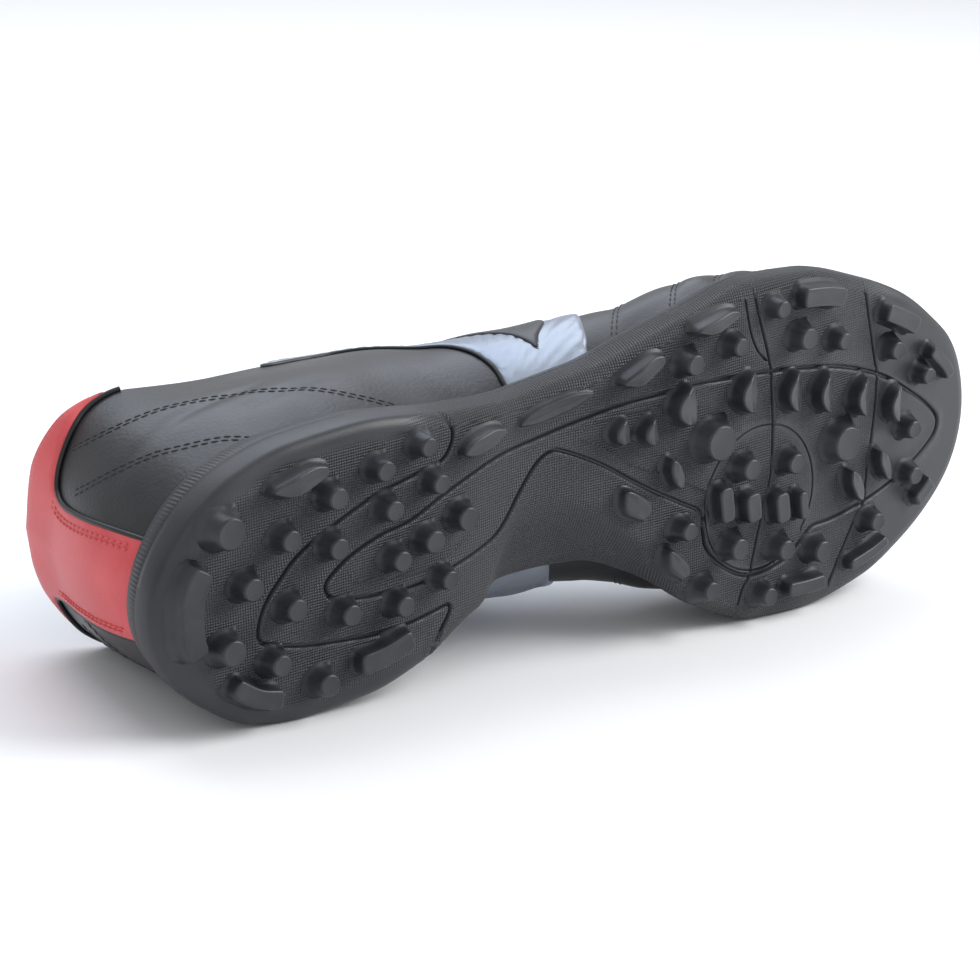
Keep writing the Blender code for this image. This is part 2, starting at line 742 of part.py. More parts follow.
def shell_between(name, inner, outer, material):
    """A closed sheet between two grids of points with the same layout."""
    bm = bmesh.new()
    low = [[bm.verts.new(p) for p in row] for row in inner]
    high = [[bm.verts.new(p) for p in row] for row in outer]
    rows, count = len(inner), len(inner[0])
    for a in range(rows - 1):
        for b in range(count - 1):
            bm.faces.new((high[a][b], high[a + 1][b], high[a + 1][b + 1], high[a][b + 1]))
            bm.faces.new((low[a][b], low[a][b + 1], low[a + 1][b + 1], low[a + 1][b]))
    rim = [(a, 0) for a in range(rows)] + [(rows - 1, b) for b in range(1, count)]
    rim += [(a, count - 1) for a in range(rows - 2, -1, -1)]
    rim += [(0, b) for b in range(count - 2, 0, -1)]
    for (a, b), (c, d) in zip(rim, rim[1:] + rim[:1]):
        bm.faces.new((low[a][b], low[c][d], high[c][d], high[a][b]))
    bmesh.ops.recalc_face_normals(bm, faces=bm.faces)
    return new_object(name, bm, material)


def make_insole():
    inset = RIM_LEAN + RIM_WALL + GAP + UPPER_WALL + GAP
    bm = bmesh.new()

    def under(x, y):
        return floor_height(x) + GAP

    def over(x, y):
        return floor_height(x) + GAP + INSOLE_THICKNESS

    levels = ((2.2 * inset, under), (inset, under), (inset, over), (2.2 * inset, over))
    rings = ring_stack(bm, levels)
    fill_loop(bm, rings[0], inset_loop(2.2 * inset), under, 2, upward=False)
    fill_loop(bm, rings[-1], inset_loop(2.2 * inset), over, 2, upward=True)
    bmesh.ops.recalc_face_normals(bm, faces=bm.faces)
    return new_object("insole", bm, LINING)


@functools.lru_cache(maxsize=None)
def throat_arc(station):
    """Line across the shoe over the throat: up the lateral wall, over the
    opening and down the medial wall, with its length measured from the middle."""
    rises = [1 - THROAT_REACH * n / 12 for n in range(13)]
    walls = [[upper_between(side, station, v) for v in rises] for side in SIDES]
    edges = [wall[0] for wall in walls]
    width = np.linalg.norm(edges[1] - edges[0])
    over = []
    if width > 2 * UPPER_WALL:
        leaves = [edge - wall[2] for edge, wall in zip(edges, walls)]
        leaves = [leaf / np.linalg.norm(leaf) * width for leaf in leaves]
        for t in (0.1, 0.2, 0.3, 0.4, 0.5, 0.6, 0.7, 0.8, 0.9):
            over.append((2 * t**3 - 3 * t**2 + 1) * edges[0]
                        + (t**3 - 2 * t**2 + t) * leaves[0]
                        + (3 * t**2 - 2 * t**3) * edges[1]
                        - (t**3 - t**2) * leaves[1])
    points = np.array([*walls[0][::-1], *over, *walls[1]])
    steps = np.linalg.norm(np.diff(points, axis=0), axis=1)
    places = np.concatenate(([0.0], np.cumsum(steps)))
    middle = (places[12] + places[12 + len(over) + 1]) / 2
    half_open = (places[12 + len(over) + 1] - places[12]) / 2
    return places - middle, points, half_open


def throat_skin(station, across):
    """The upper's surface carried over the throat, at a distance from its middle."""
    places, points, _ = throat_arc(round(station, 4))
    return np.array([np.interp(across, places, points[:, n]) for n in range(3)])


def throat_lift(station, across, lift):
    """A point over or under the throat's surface."""
    along = throat_skin(station + 0.3, across) - throat_skin(station - 0.3, across)
    aside = throat_skin(station, across + 0.002) - throat_skin(station, across - 0.002)
    normal = np.cross(along, aside)
    return throat_skin(station, across) + normal / np.linalg.norm(normal) * lift


def station_of(along):
    return angle_of(along) * STATIONS / math.pi


def make_tongue():
    """Padded sheet under the throat, running on a little under the vamp."""
    top, low = station_of(COLLAR_FRONT), station_of(THROAT_END + 0.035)
    places = [low + (top - low) * n / 12 for n in range(13)]
    inner, outer = [], []
    for n, station in enumerate(places):
        over = -(UPPER_WALL + TONGUE_CLEARANCE)
        under = over - TONGUE_THICKNESS
        half = (TONGUE_FOOT_WIDTH + (TONGUE_WIDTH - TONGUE_FOOT_WIDTH) * n / 12) / 2
        across = [half * (m / 4 - 1) for m in range(9)]
        outer.append([throat_lift(station, w, over) for w in across])
        inner.append([throat_lift(station, w, under) for w in across])
    rise = outer[-1][4] - outer[-3][4]
    rise = rise / np.linalg.norm(rise) + np.array((0.0, 0.0, 0.12))
    for share in (0.35, 0.70, 1.0):
        narrow = 1 - 0.28 * share**2
        for grid in (outer, inner):
            last = grid[len(places) - 1]
            row = [last[4] + (p - last[4]) * narrow for p in last]
            grid.append([p + rise * TONGUE_RISE * share for p in row])
    return shell_between("tongue", inner, outer, LINING)


def make_eyestay():
    """Facing around the throat, from one side of the collar to the other."""
    start = COLLAR_FRONT + 0.012
    end = along_of(throat_station() + 0.5)
    places = [start + (end - start) * n / 6 for n in range(7)]
    edges = {side: [top_point(side, along) for along in places] for side in SIDES}
    lateral = [(x, y - EYESTAY_WIDTH) for x, y, _ in edges["lateral"]]
    medial = [(x, y + EYESTAY_WIDTH) for x, y, _ in edges["medial"]]
    middle = (edges["lateral"][-1] + edges["medial"][-1]) / 2
    half = (medial[-1][1] - lateral[-1][1]) / 2
    foot = []
    for n in range(1, 8):
        turn = math.pi * (n / 8 - 0.5)
        foot.append((middle[0] + EYESTAY_WIDTH * math.cos(turn),
                     middle[1] + half * math.sin(turn)))
    outline = lateral + foot + medial[::-1]
    rings = [[(x, y, z) for x, y in outline] for z in (0.0, 2 * INSTEP_HEIGHT)]
    cutter = outline_cutter("eyestay cutter", rings)
    low = station_of(COLLAR_FRONT) - 3

    def keep(side, k, row):
        return low < k < station_of(THROAT_END) + 6 and row >= PANEL_ROWS * WALL_ROWS
    return overlay("eyestay", keep, cutter, BLACK_LEATHER)


def lace_hole(side, row):
    """Centre of a lace hole: its station and distance from the middle."""
    start, end = station_of(COLLAR_FRONT + 0.012), throat_station() + 0.2
    station = start + (end - start) * LACE_ROWS[row]
    half_open = throat_arc(round(station, 4))[2]
    return station, SIGN[side] * (half_open + HOLE_INSET)


def cut_lace_holes(pieces):
    bm = bmesh.new()
    for side in SIDES:
        for row in range(len(LACE_ROWS)):
            place = lace_hole(side, row)
            low = Vector(throat_lift(*place, -3 * UPPER_WALL))
            high = Vector(throat_lift(*place, 3 * UPPER_WALL))
            move = Matrix.Translation((low + high) / 2)
            turn = (high - low).to_track_quat("Z", "Y").to_matrix().to_4x4()
            bmesh.ops.create_cone(bm, cap_ends=True, segments=8, radius1=HOLE_RADIUS,
                                  radius2=HOLE_RADIUS, depth=(high - low).length,
                                  matrix=move @ turn)
    cutter = as_tool(new_object("lace hole cutter", bm, RUBBER))
    for piece in pieces:
        cut = piece.modifiers.new("lace holes", "BOOLEAN")
        cut.operation = "DIFFERENCE"
        cut.object = cutter
        cut.solver = "EXACT"


def add_lace(bm, start, end, crown):
    """One flat run of lace between two holes, over the eyestay and tongue."""
    base = OVERLAY_THICKNESS + 2 * GAP
    count = 6
    rings = []
    start, end = np.array(start), np.array(end)
    for n in range(count + 1):
        share = n / count
        place = start + (end - start) * share
        lift = base + crown * (0.6 + 0.4 * math.sin(math.pi * share) ** 2)
        here = throat_lift(*place, lift)
        over = throat_lift(*place, lift + LACE_THICKNESS)
        step = (end - start) * 0.02
        run = throat_skin(*(place + step)) - throat_skin(*(place - step))
        aside = np.cross(run, over - here)
        aside = aside / np.linalg.norm(aside) * LACE_WIDTH / 2
        corners = (here - aside, here + aside, over + 0.8 * aside, over - 0.8 * aside)
        rings.append([bm.verts.new(p) for p in corners])
    faces = [bm.faces.new(rings[0][::-1]), bm.faces.new(rings[-1])]
    for a, b in zip(rings[:-1], rings[1:]):
        for n in range(4):
            m = (n + 1) % 4
            faces.append(bm.faces.new((a[n], a[m], b[m], b[n])))
    bmesh.ops.recalc_face_normals(bm, faces=faces)


def make_laces():
    """Straight bar in the lowest holes, then criss-cross runs to the top."""
    runs = bmesh.new()
    add_lace(runs, lace_hole("medial", -1), lace_hole("lateral", -1), 0.0)
    for row in range(len(LACE_ROWS) - 1):
        add_lace(runs, lace_hole("medial", row), lace_hole("lateral", row + 1), 0.0)
    others = bmesh.new()
    for row in range(len(LACE_ROWS) - 1):
        add_lace(others, lace_hole("lateral", row), lace_hole("medial", row + 1),
                 0.7 * LACE_THICKNESS)
    laces = new_object("laces", runs, LACE_CLOTH)
    over = as_tool(new_object("lace cutter", others, LACE_CLOTH))
    join = laces.modifiers.new("crossings", "BOOLEAN")
    join.operation = "UNION"
    join.object = over
    join.solver = "EXACT"
    join.use_self = True
    return laces


def side_outline(table, height, at):
    """Side-view outline from shares of the length and of a height over the rim,
    each edge in short steps so that its foot follows the rim, at one place
    across the shoe."""
    ring = []
    for (start, low), (end, high) in zip(table, table[1:] + table[:1]):
        for n in range(4):
            x = (start + (end - start) * n / 4) * LENGTH
            base = rim_height(x) + 2 * GAP
            ring.append((x, at, base + (low + (high - low) * n / 4) * (height - base)))
    return ring


def make_heel_counter():
    """Red panel around the back of the heel, narrow at the sole and swept
    forward under the collar."""
    behind = ((0.140, 1.20), (-0.05, 1.20), (-0.05, 0.00))
    rings = []
    for side, at in (("lateral", -BALL_WIDTH), ("lateral", -HEEL_WIDTH / 12),
                     ("medial", HEEL_WIDTH / 12), ("medial", BALL_WIDTH)):
        rings.append(side_outline(COUNTER[side] + behind, HEEL_HEIGHT, at))
    cutter = outline_cutter("counter cutter", rings)

    def keep(side, k, row):
        return row >= 1 and k < station_of(COUNTER_REACH)
    return overlay("heel_counter", keep, cutter, RED_LEATHER)


def make_side_panel(side):
    """Silver panel from the sole up over one side of the waist."""
    rings = [side_outline(SIDE_PANEL[side], ANKLE_HEIGHT, at)
             for at in (0.0, SIGN[side] * BALL_WIDTH)]
    name = "side_panel_" + side
    cutter = outline_cutter(name + " cutter", rings)
    low, high = station_of(PANEL_REACH[0]), station_of(PANEL_REACH[1])

    def keep(at_side, k, row):
        return at_side == side and 1 <= row < PANEL_ROWS * WALL_ROWS and low < k < high
    return overlay(name, keep, cutter, SILVER_LEATHER)


def solid_of(obj, deps):
    """World points, and volume and centre, of an object as it is drawn."""
    mesh = obj.evaluated_get(deps).to_mesh()
    mesh.calc_loop_triangles()
    points = np.array([obj.matrix_world @ vertex.co for vertex in mesh.vertices])
    corners = np.array([triangle.vertices for triangle in mesh.loop_triangles])
    a, b, c = (points[corners[:, n]] for n in range(3))
    volumes = np.einsum("ij,ij->i", a, np.cross(b, c)) / 6
    centre = ((a + b + c) / 4 * volumes[:, None]).sum(axis=0) / volumes.sum()
    return points, volumes.sum(), centre


def lay_down(pieces, tools):
    """Lie the shoe on its inner side: the floor is the face of the convex hull
    that the centre of gravity stands over."""
    bpy.context.view_layer.update()
    deps = bpy.context.evaluated_depsgraph_get()
    cloud, weights, centres = [], [], []
    for piece in pieces:
        points, volume, centre = solid_of(piece, deps)
        cloud.append(points)
        weights.append(volume * DENSITY[piece.name])
        centres.append(centre)
    cloud = np.vstack(cloud)
    weights = np.array(weights)
    balance = (np.array(centres) * weights[:, None]).sum(axis=0) / weights.sum()
    hull = bmesh.new()
    for point in cloud:
        hull.verts.new(point)
    bmesh.ops.convex_hull(hull, input=hull.verts, use_existing_faces=False)
    bmesh.ops.recalc_face_normals(hull, faces=hull.faces)
    tree = BVHTree.FromBMesh(hull)
    down = tree.ray_cast(Vector(balance), Vector((0.0, 1.0, 0.0)))[1]
    hull.free()
    if down.y < 0:
        down.negate()
    up = -down
    ahead = (Vector((1.0, 0.0, 0.0)) - up * up.x).normalized()
    turn = Matrix((ahead, up.cross(ahead), up))
    laid = cloud @ np.array(turn).T
    low, high = laid.min(axis=0), laid.max(axis=0)
    shift = Vector((-(low[0] + high[0]) / 2, -(low[1] + high[1]) / 2, -low[2]))
    rest = bpy.data.objects.new("resting shoe", None)
    SHOE.objects.link(rest)
    rest.matrix_world = Matrix.Translation(shift) @ turn.to_4x4()
    for obj in pieces + tools:
        obj.parent = rest


def start_scene():
    for obj in list(bpy.data.objects):
        bpy.data.objects.remove(obj, do_unlink=True)
    shoe = bpy.data.collections.new("turf shoe")
    tools = bpy.data.collections.new("cutters")
    bpy.context.scene.collection.children.link(shoe)
    bpy.context.scene.collection.children.link(tools)
    return shoe, tools


SHOE, TOOLS = start_scene()
RUBBER = material_of("black rubber", (0.028, 0.030, 0.036), 0.55)
BLACK_LEATHER = material_of("black leather", (0.022, 0.022, 0.025), 0.42)
RED_LEATHER = material_of("red leather", (0.60, 0.045, 0.055), 0.45)
SILVER_LEATHER = material_of("silver leather", (0.62, 0.66, 0.72), 0.30, 0.55)
LINING = material_of("lining", (0.05, 0.05, 0.055), 0.85)
LACE_CLOTH = material_of("lace", (0.03, 0.03, 0.033), 0.80)

OUTSOLE = make_outsole()
UPPER = make_upper()
EYESTAY = make_eyestay()
cut_lace_holes([UPPER, EYESTAY])
PIECES = [OUTSOLE, UPPER, EYESTAY, make_insole(), make_tongue(), make_laces(),
          make_heel_counter()]
PIECES += [make_side_panel(side) for side in SIDES]
lay_down(PIECES, list(TOOLS.objects))
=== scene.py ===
"""Looks of the turf shoe around its CAD frame.

Each section below makes one piece: its sizes, colours, mesh and material, and
what it stands for in the frame. Meshes are made in the shoe's own frame, with
+X from heel to toe, +Y to the inner (medial) side and +Z up from the tread,
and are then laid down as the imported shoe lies. Sizes are in metres.
"""
import json
import math

import bmesh
import bpy
import numpy as np
from mathutils import Matrix, Vector
from mathutils.geometry import delaunay_2d_cdt
from mathutils.kdtree import KDTree


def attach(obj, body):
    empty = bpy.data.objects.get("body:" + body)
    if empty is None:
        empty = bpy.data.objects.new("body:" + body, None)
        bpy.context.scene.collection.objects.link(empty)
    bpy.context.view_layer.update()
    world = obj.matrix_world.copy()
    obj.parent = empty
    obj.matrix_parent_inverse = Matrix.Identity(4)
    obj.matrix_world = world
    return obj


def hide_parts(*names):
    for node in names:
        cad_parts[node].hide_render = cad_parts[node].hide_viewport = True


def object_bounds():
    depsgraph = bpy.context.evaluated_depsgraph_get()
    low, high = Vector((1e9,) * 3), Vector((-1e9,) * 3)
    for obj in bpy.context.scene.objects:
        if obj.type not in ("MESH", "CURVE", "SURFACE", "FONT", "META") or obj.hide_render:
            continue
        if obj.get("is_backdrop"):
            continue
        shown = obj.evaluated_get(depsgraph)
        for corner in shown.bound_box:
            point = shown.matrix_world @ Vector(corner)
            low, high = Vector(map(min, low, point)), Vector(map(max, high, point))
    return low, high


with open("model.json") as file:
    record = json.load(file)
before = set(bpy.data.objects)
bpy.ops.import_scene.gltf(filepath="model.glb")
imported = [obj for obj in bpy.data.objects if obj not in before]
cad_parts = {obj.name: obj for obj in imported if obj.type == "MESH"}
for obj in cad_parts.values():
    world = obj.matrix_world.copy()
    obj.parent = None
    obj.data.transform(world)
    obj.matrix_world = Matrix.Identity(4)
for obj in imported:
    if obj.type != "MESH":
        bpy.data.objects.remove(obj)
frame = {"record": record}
cad_box = [list(corner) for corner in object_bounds()]

# Form of the shoe: the sizes and tables of the CAD part, read here for whole
# arrays of places. A place on the outline is an angle: 0 at the heel, pi at the
# toe, negative on the lateral side.
LENGTH = 0.286
BALL_WIDTH = 0.102
HEEL_WIDTH = 0.075
TOE_SPRING = 0.011
ARCH_RISE = 0.0045
HEEL_BEVEL = 0.003
SCOOP_DEPTH = 0.007
HEEL_FLOOR = 0.012
BALL_FLOOR = 0.0075
RIM_HEIGHT = 0.0065
RIM_LEAN = 0.0019
RIM_WALL = 0.0024
EDGE_RADIUS = 0.0028
SIDE_STEP = 0.0009
UPPER_WALL = 0.0022
COLLAR_WIDTH = 0.072
HEEL_HEIGHT = 0.084
ANKLE_HEIGHT = 0.067
INSTEP_HEIGHT = 0.093
VAMP_HEIGHT = 0.061
TOE_HEIGHT = 0.037
THROAT_WIDTH = 0.030
THROAT_END = 0.60
HEEL_TIP = 0.05
TOE_TIP = 0.12
GAP = 0.0003
OUTLINE = (
    # along, medial, lateral
    (0.02, 0.490, 0.430), (0.05, 0.730, 0.700), (0.09, 0.910, 0.885), (0.15, 0.990, 1.000),
    (0.22, 0.965, 1.025), (0.29, 0.830, 0.965), (0.35, 0.600, 0.875), (0.42, 0.470, 0.780),
    (0.49, 0.440, 0.768), (0.55, 0.550, 0.820), (0.61, 0.775, 0.892), (0.68, 0.950, 0.980),
    (0.76, 0.995, 0.947), (0.84, 0.940, 0.805), (0.90, 0.815, 0.650), (0.95, 0.645, 0.440),
    (0.98, 0.475, 0.270),
)
CREST = (
    # along, across
    (0.36, 0.45), (0.38, 0.13), (0.41, -0.12), (0.44, -0.16), (0.47, -0.06),
    (0.50, 0.08), (0.53, 0.27), (0.57, 0.48),
)
TOP_LINE = (
    # foot along, top along, half width, height, roundness
    (0.000, 0.052, 0.000, HEEL_HEIGHT, 0.00),
    (0.020, 0.058, 0.430 * COLLAR_WIDTH / 2, HEEL_HEIGHT - 0.001, 0.00),
    (0.060, 0.083, 0.820 * COLLAR_WIDTH / 2, HEEL_HEIGHT - 0.006, 0.00),
    (0.120, 0.135, 1.000 * COLLAR_WIDTH / 2, ANKLE_HEIGHT + 0.005, 0.00),
    (0.200, 0.215, 1.000 * COLLAR_WIDTH / 2, ANKLE_HEIGHT, 0.05),
    (0.270, 0.285, 0.950 * COLLAR_WIDTH / 2, ANKLE_HEIGHT + 0.005, 0.15),
    (0.330, 0.345, 0.810 * COLLAR_WIDTH / 2, INSTEP_HEIGHT - 0.009, 0.30),
    (0.380, 0.390, 0.580 * COLLAR_WIDTH / 2, INSTEP_HEIGHT, 0.50),
    (0.430, 0.440, 0.500 * THROAT_WIDTH, INSTEP_HEIGHT - 0.009, 0.66),
    (0.490, 0.500, 0.460 * THROAT_WIDTH, 0.45 * INSTEP_HEIGHT + 0.55 * VAMP_HEIGHT, 0.76),
    (0.540, 0.550, 0.400 * THROAT_WIDTH, 0.22 * INSTEP_HEIGHT + 0.78 * VAMP_HEIGHT, 0.84),
    (0.580, 0.590, 0.280 * THROAT_WIDTH, VAMP_HEIGHT + 0.002, 0.90),
    (0.600, 0.610, 0.0, VAMP_HEIGHT, 0.97),
)
RIDGE = (
    # foot along, top along, drop from the vamp's height to the toe's
    (0.600, 0.610, 0.00), (0.680, 0.685, 0.34), (0.760, 0.755, 0.60), (0.840, 0.820, 0.80),
    (0.900, 0.860, 0.90), (0.950, 0.885, 0.96), (1.000, 0.900, 1.00),
)
BULGE = (
    # along, medial out, lateral out, medial up, lateral up
    (0.00, 0.07, 0.07, 0.40, 0.40), (0.10, 0.10, 0.12, 0.42, 0.42),
    (0.22, 0.13, 0.17, 0.42, 0.42), (0.32, 0.42, 0.25, 0.32, 0.40),
    (0.40, 0.68, 0.33, 0.24, 0.38), (0.47, 0.72, 0.29, 0.24, 0.40),
    (0.55, 0.53, 0.20, 0.28, 0.44), (0.64, 0.20, 0.11, 0.40, 0.48),
    (0.80, 0.05, 0.06, 0.55, 0.52), (1.00, 0.02, 0.02, 0.62, 0.62),
)
CENTRE_LINE = ((0.0, 0.00), (0.30, 0.03), (0.50, 0.07), (0.70, 0.10), (1.0, 0.12))


def smooth_through(table, column, at):
    """A soft curve through one column of a table, read at many places."""
    xs = np.array([row[0] for row in table])
    ys = np.array([row[column] for row in table])
    at = np.clip(at, xs[0], xs[-1])
    slopes = np.diff(ys) / np.diff(xs)
    before, after = slopes[:-1], slopes[1:]
    alike = before * after > 0
    middle = np.where(alike, 2 * before * after / np.where(alike, before + after, 1.0), 0.0)
    ends = np.concatenate((slopes[:1], middle, slopes[-1:]))
    i = np.clip(np.searchsorted(xs, at, side="right") - 1, 0, len(xs) - 2)
    width = xs[i + 1] - xs[i]
    t = (at - xs[i]) / width
    return ((2 * t**3 - 3 * t**2 + 1) * ys[i] + (t**3 - 2 * t**2 + t) * width * ends[i]
            + (3 * t**2 - 2 * t**3) * ys[i + 1] + (t**3 - t**2) * width * ends[i + 1])


def ease(low, high, at):
    t = np.clip((at - low) / (high - low), 0.0, 1.0)
    return t * t * (3 - 2 * t)


def angle_of(along):
    return np.arccos(np.clip(1 - 2 * np.asarray(along, float), -1.0, 1.0))


def along_of(turn):
    return (1 - np.cos(turn)) / 2


def half_width(along):
    return (HEEL_WIDTH + (BALL_WIDTH - HEEL_WIDTH) * ease(0.30, 0.60, along)) / 2


def edge_share(side, along):
    column = 1 if side > 0 else 2
    rows = [(0.0, side * HEEL_TIP)]
    rows += [(angle_of(row[0]), row[column]) for row in OUTLINE]
    rows += [(math.pi, side * TOE_TIP)]
    return side * smooth_through(rows, 1, angle_of(along))


def spring_of(along):
    return TOE_SPRING * (np.maximum(along - 0.60, 0.0) / 0.40) ** 1.8


def arch_share(along):
    return np.maximum(np.exp(-((along - 0.42) / 0.10) ** 2) - 0.03, 0.0) / 0.97


def tread_height(x, y):
    """Underside of the sole between the studs."""
    along = np.clip(x / LENGTH, 0.0, 1.0)
    bevel = HEEL_BEVEL * (np.maximum(0.07 - along, 0.0) / 0.07) ** 2
    crest = smooth_through(CREST, 1, along) * half_width(along)
    edge = edge_share(1.0, along) * half_width(along)
    fade = ease(0.35, 0.40, along) * (1 - ease(0.54, 0.59, along))
    scoop = SCOOP_DEPTH * fade * ease(crest, np.maximum(edge, crest + 0.004), y)
    return spring_of(along) + ARCH_RISE * arch_share(along) + bevel + scoop


def floor_height(x):
    along = np.clip(x / LENGTH, 0.0, 1.0)
    base = HEEL_FLOOR + (BALL_FLOOR - HEEL_FLOOR) * ease(0.25, 0.70, along)
    return base + spring_of(along) + 0.6 * ARCH_RISE * arch_share(along)


def rim_height(x):
    return floor_height(x) + RIM_HEIGHT


def on_sole(along, across):
    side = 1.0 if across > 0 else -1.0
    return np.array((along * LENGTH, across * side * edge_share(side, along) * half_width(along)))


DENSE = np.linspace(-math.pi, math.pi, 2881)
_along = along_of(DENSE)
_share = np.where(DENSE < 0, edge_share(-1.0, _along), edge_share(1.0, _along))
EDGE = np.stack([_along * LENGTH, _share * half_width(_along)], axis=1)
_ahead = np.roll(EDGE[:-1], -1, axis=0) - np.roll(EDGE[:-1], 1, axis=0)
_ahead = np.vstack([_ahead, _ahead[:1]])
OUT = np.stack([-_ahead[:, 1], _ahead[:, 0]], axis=1) * -1.0
OUT = OUT / np.linalg.norm(OUT, axis=1, keepdims=True)
if OUT[720] @ (EDGE[720] - np.array((LENGTH / 4, 0.0))) < 0:
    OUT = -OUT


def edge_at(turn):
    """Plan point of the sole's edge and its outward direction."""
    plan = np.stack([np.interp(turn, DENSE, EDGE[:, n]) for n in (0, 1)], axis=-1)
    out = np.stack([np.interp(turn, DENSE, OUT[:, n]) for n in (0, 1)], axis=-1)
    return plan, out / np.linalg.norm(out, axis=-1, keepdims=True)


def top_point(turn):
    """Collar, throat or ridge over a place on the outline."""
    along = along_of(turn)
    rows = [(float(angle_of(row[0])), *row[1:]) for row in TOP_LINE]
    low = np.abs(turn) < angle_of(THROAT_END)
    x = np.where(low, smooth_through(rows, 1, np.abs(turn)), smooth_through(RIDGE, 1, along))
    half = np.where(low, smooth_through(rows, 2, np.abs(turn)), 0.0)
    ridge = VAMP_HEIGHT + (TOE_HEIGHT - VAMP_HEIGHT) * smooth_through(RIDGE, 2, along)
    z = np.where(low, smooth_through(rows, 3, np.abs(turn)), ridge)
    middle = smooth_through(CENTRE_LINE, 1, x) * BALL_WIDTH / 2
    return np.stack([x * LENGTH, middle + np.sign(turn) * half, z], axis=-1)


def upper_at(turn, up):
    """Outer surface of the upper: up runs from the floor of the cup, 0, past
    the rim, 0.1, to the collar, throat or ridge, 1."""
    turn, up = np.broadcast_arrays(np.asarray(turn, float), np.asarray(up, float))
    along = along_of(turn)
    plan, out = edge_at(turn)
    plan = plan - out * (RIM_LEAN + RIM_WALL + GAP)
    rim = np.concatenate([plan, (rim_height(plan[..., 0]) + GAP)[..., None]], axis=-1)
    foot = np.concatenate([plan, (floor_height(plan[..., 0]) + GAP)[..., None]], axis=-1)
    top = top_point(turn)
    medial = turn > 0
    bulge = np.where(medial, smooth_through(BULGE, 1, along), smooth_through(BULGE, 2, along))
    at = np.where(medial, smooth_through(BULGE, 3, along), smooth_through(BULGE, 4, along))
    rise = top[..., 2] - rim[..., 2]
    low = np.concatenate([plan + out * (bulge * BALL_WIDTH / 2)[..., None],
                          (rim[..., 2] + at * rise)[..., None]], axis=-1)
    soft = np.where(along >= THROAT_END, 1.0, smooth_through(TOP_LINE, 4, along))
    reach = (0.30 + 0.26 * soft)[..., None]
    high = np.concatenate([top[..., :2] + (low[..., :2] - top[..., :2]) * reach,
                           (top[..., 2] - (1 - soft) * 0.36 * rise)[..., None]], axis=-1)
    t = np.clip((up - 0.1) / 0.9, 0.0, 1.0)[..., None]
    wall = ((1 - t)**3 * rim + 3 * t * (1 - t)**2 * low + 3 * t**2 * (1 - t) * high + t**3 * top)
    share = np.clip(up / 0.1, 0.0, 1.0)[..., None]
    return np.where(up[..., None] <= 0.1, foot + (rim - foot) * share, wall)


def upper_normal(turn, up):
    """Outward direction of the upper's surface, shared by both sides on the ridge."""
    def one(turn):
        step = np.where(up > 0.995, -0.004, 0.004)
        ahead = upper_at(turn + 0.006, up) - upper_at(turn - 0.006, up)
        rise = (upper_at(turn, up + step) - upper_at(turn, up)) / step[..., None]
        normal = np.cross(ahead, rise)
        return -normal / np.linalg.norm(normal, axis=-1, keepdims=True)
    turn, up = np.broadcast_arrays(np.asarray(turn, float), np.asarray(up, float))
    turn = np.clip(turn, -math.pi + 0.007, math.pi - 0.007)
    up = np.maximum(up, 0.11)
    here = one(turn)
    closed = ease(0.90, 1.0, up) * (np.abs(turn) > angle_of(THROAT_END) - 0.01)
    seam = ease(0.12, 0.0, math.pi - np.abs(turn)) * 0.5
    mixed = here + one(-turn) * np.maximum(closed, seam)[..., None]
    return mixed / np.linalg.norm(mixed, axis=-1, keepdims=True)


# The shoe as it lies, from the two stud tips of the record
mounts = {mount["name"]: mount for mount in frame["record"]["mounts"]}
STUD_HEIGHT = 0.0055
tips = []
for along, across in ((0.180, -0.23), (0.624, -0.19)):
    plan = on_sole(along, across)
    tips.append(np.array((*plan, float(tread_height(*plan)) - STUD_HEIGHT)))
laid_tips = [np.array(mounts[name]["pos_m"]) for name in ("heel_stud_tip", "forefoot_stud_tip")]
up_axis = -np.array(mounts["heel_stud_tip"]["axis"])
up_axis = up_axis / np.linalg.norm(up_axis)
span = tips[1] - tips[0]
flat_run = laid_tips[1] - laid_tips[0]
flat_run = flat_run - up_axis * (flat_run @ up_axis)
flat_run = flat_run / np.linalg.norm(flat_run)
skew = math.atan2(span[1], span[0])
ahead_axis = flat_run * math.cos(skew) - np.cross(up_axis, flat_run) * math.sin(skew)
REST = np.stack([ahead_axis, np.cross(up_axis, ahead_axis), up_axis], axis=1)
SHIFT = laid_tips[0] - REST @ tips[0]


def laid(points):
    return np.asarray(points, float) @ REST.T + SHIFT


# Camera: the photo's view of the sole, fitted to its outline, in the shoe's own
# frame with the tread upright
AZIMUTH, ELEVATION, ROLL = math.radians(-37.0), math.radians(19.3), math.radians(-1.3)
DISTANCE = 0.995
TARGET = np.array((0.118, 0.020, 0.0027))
FOCAL_SHARE = 3720 / 980
right = np.array((math.cos(AZIMUTH), math.sin(AZIMUTH), 0.0))
back = np.array((math.sin(AZIMUTH) * math.cos(ELEVATION),
                 -math.cos(AZIMUTH) * math.cos(ELEVATION), math.sin(ELEVATION)))
above = np.cross(back, right)
rolled = [right * math.cos(ROLL) + above * math.sin(ROLL),
          above * math.cos(ROLL) - right * math.sin(ROLL), back]
eye = TARGET + back * DISTANCE
turned = [REST @ np.array((axis[0], -axis[2], axis[1])) for axis in rolled]
place = laid((eye[0], -eye[2], eye[1]))
lens = bpy.data.cameras.new("camera")
lens.sensor_width = 36.0
lens.lens = 36.0 * FOCAL_SHARE
lens.clip_start = 0.01
camera = bpy.data.objects.new("camera", lens)
bpy.context.scene.collection.objects.link(camera)
camera.matrix_world = Matrix([[*(axis[n] for axis in turned), place[n]] for n in range(3)]
                             + [[0.0, 0.0, 0.0, 1.0]])
bpy.context.scene.camera = camera

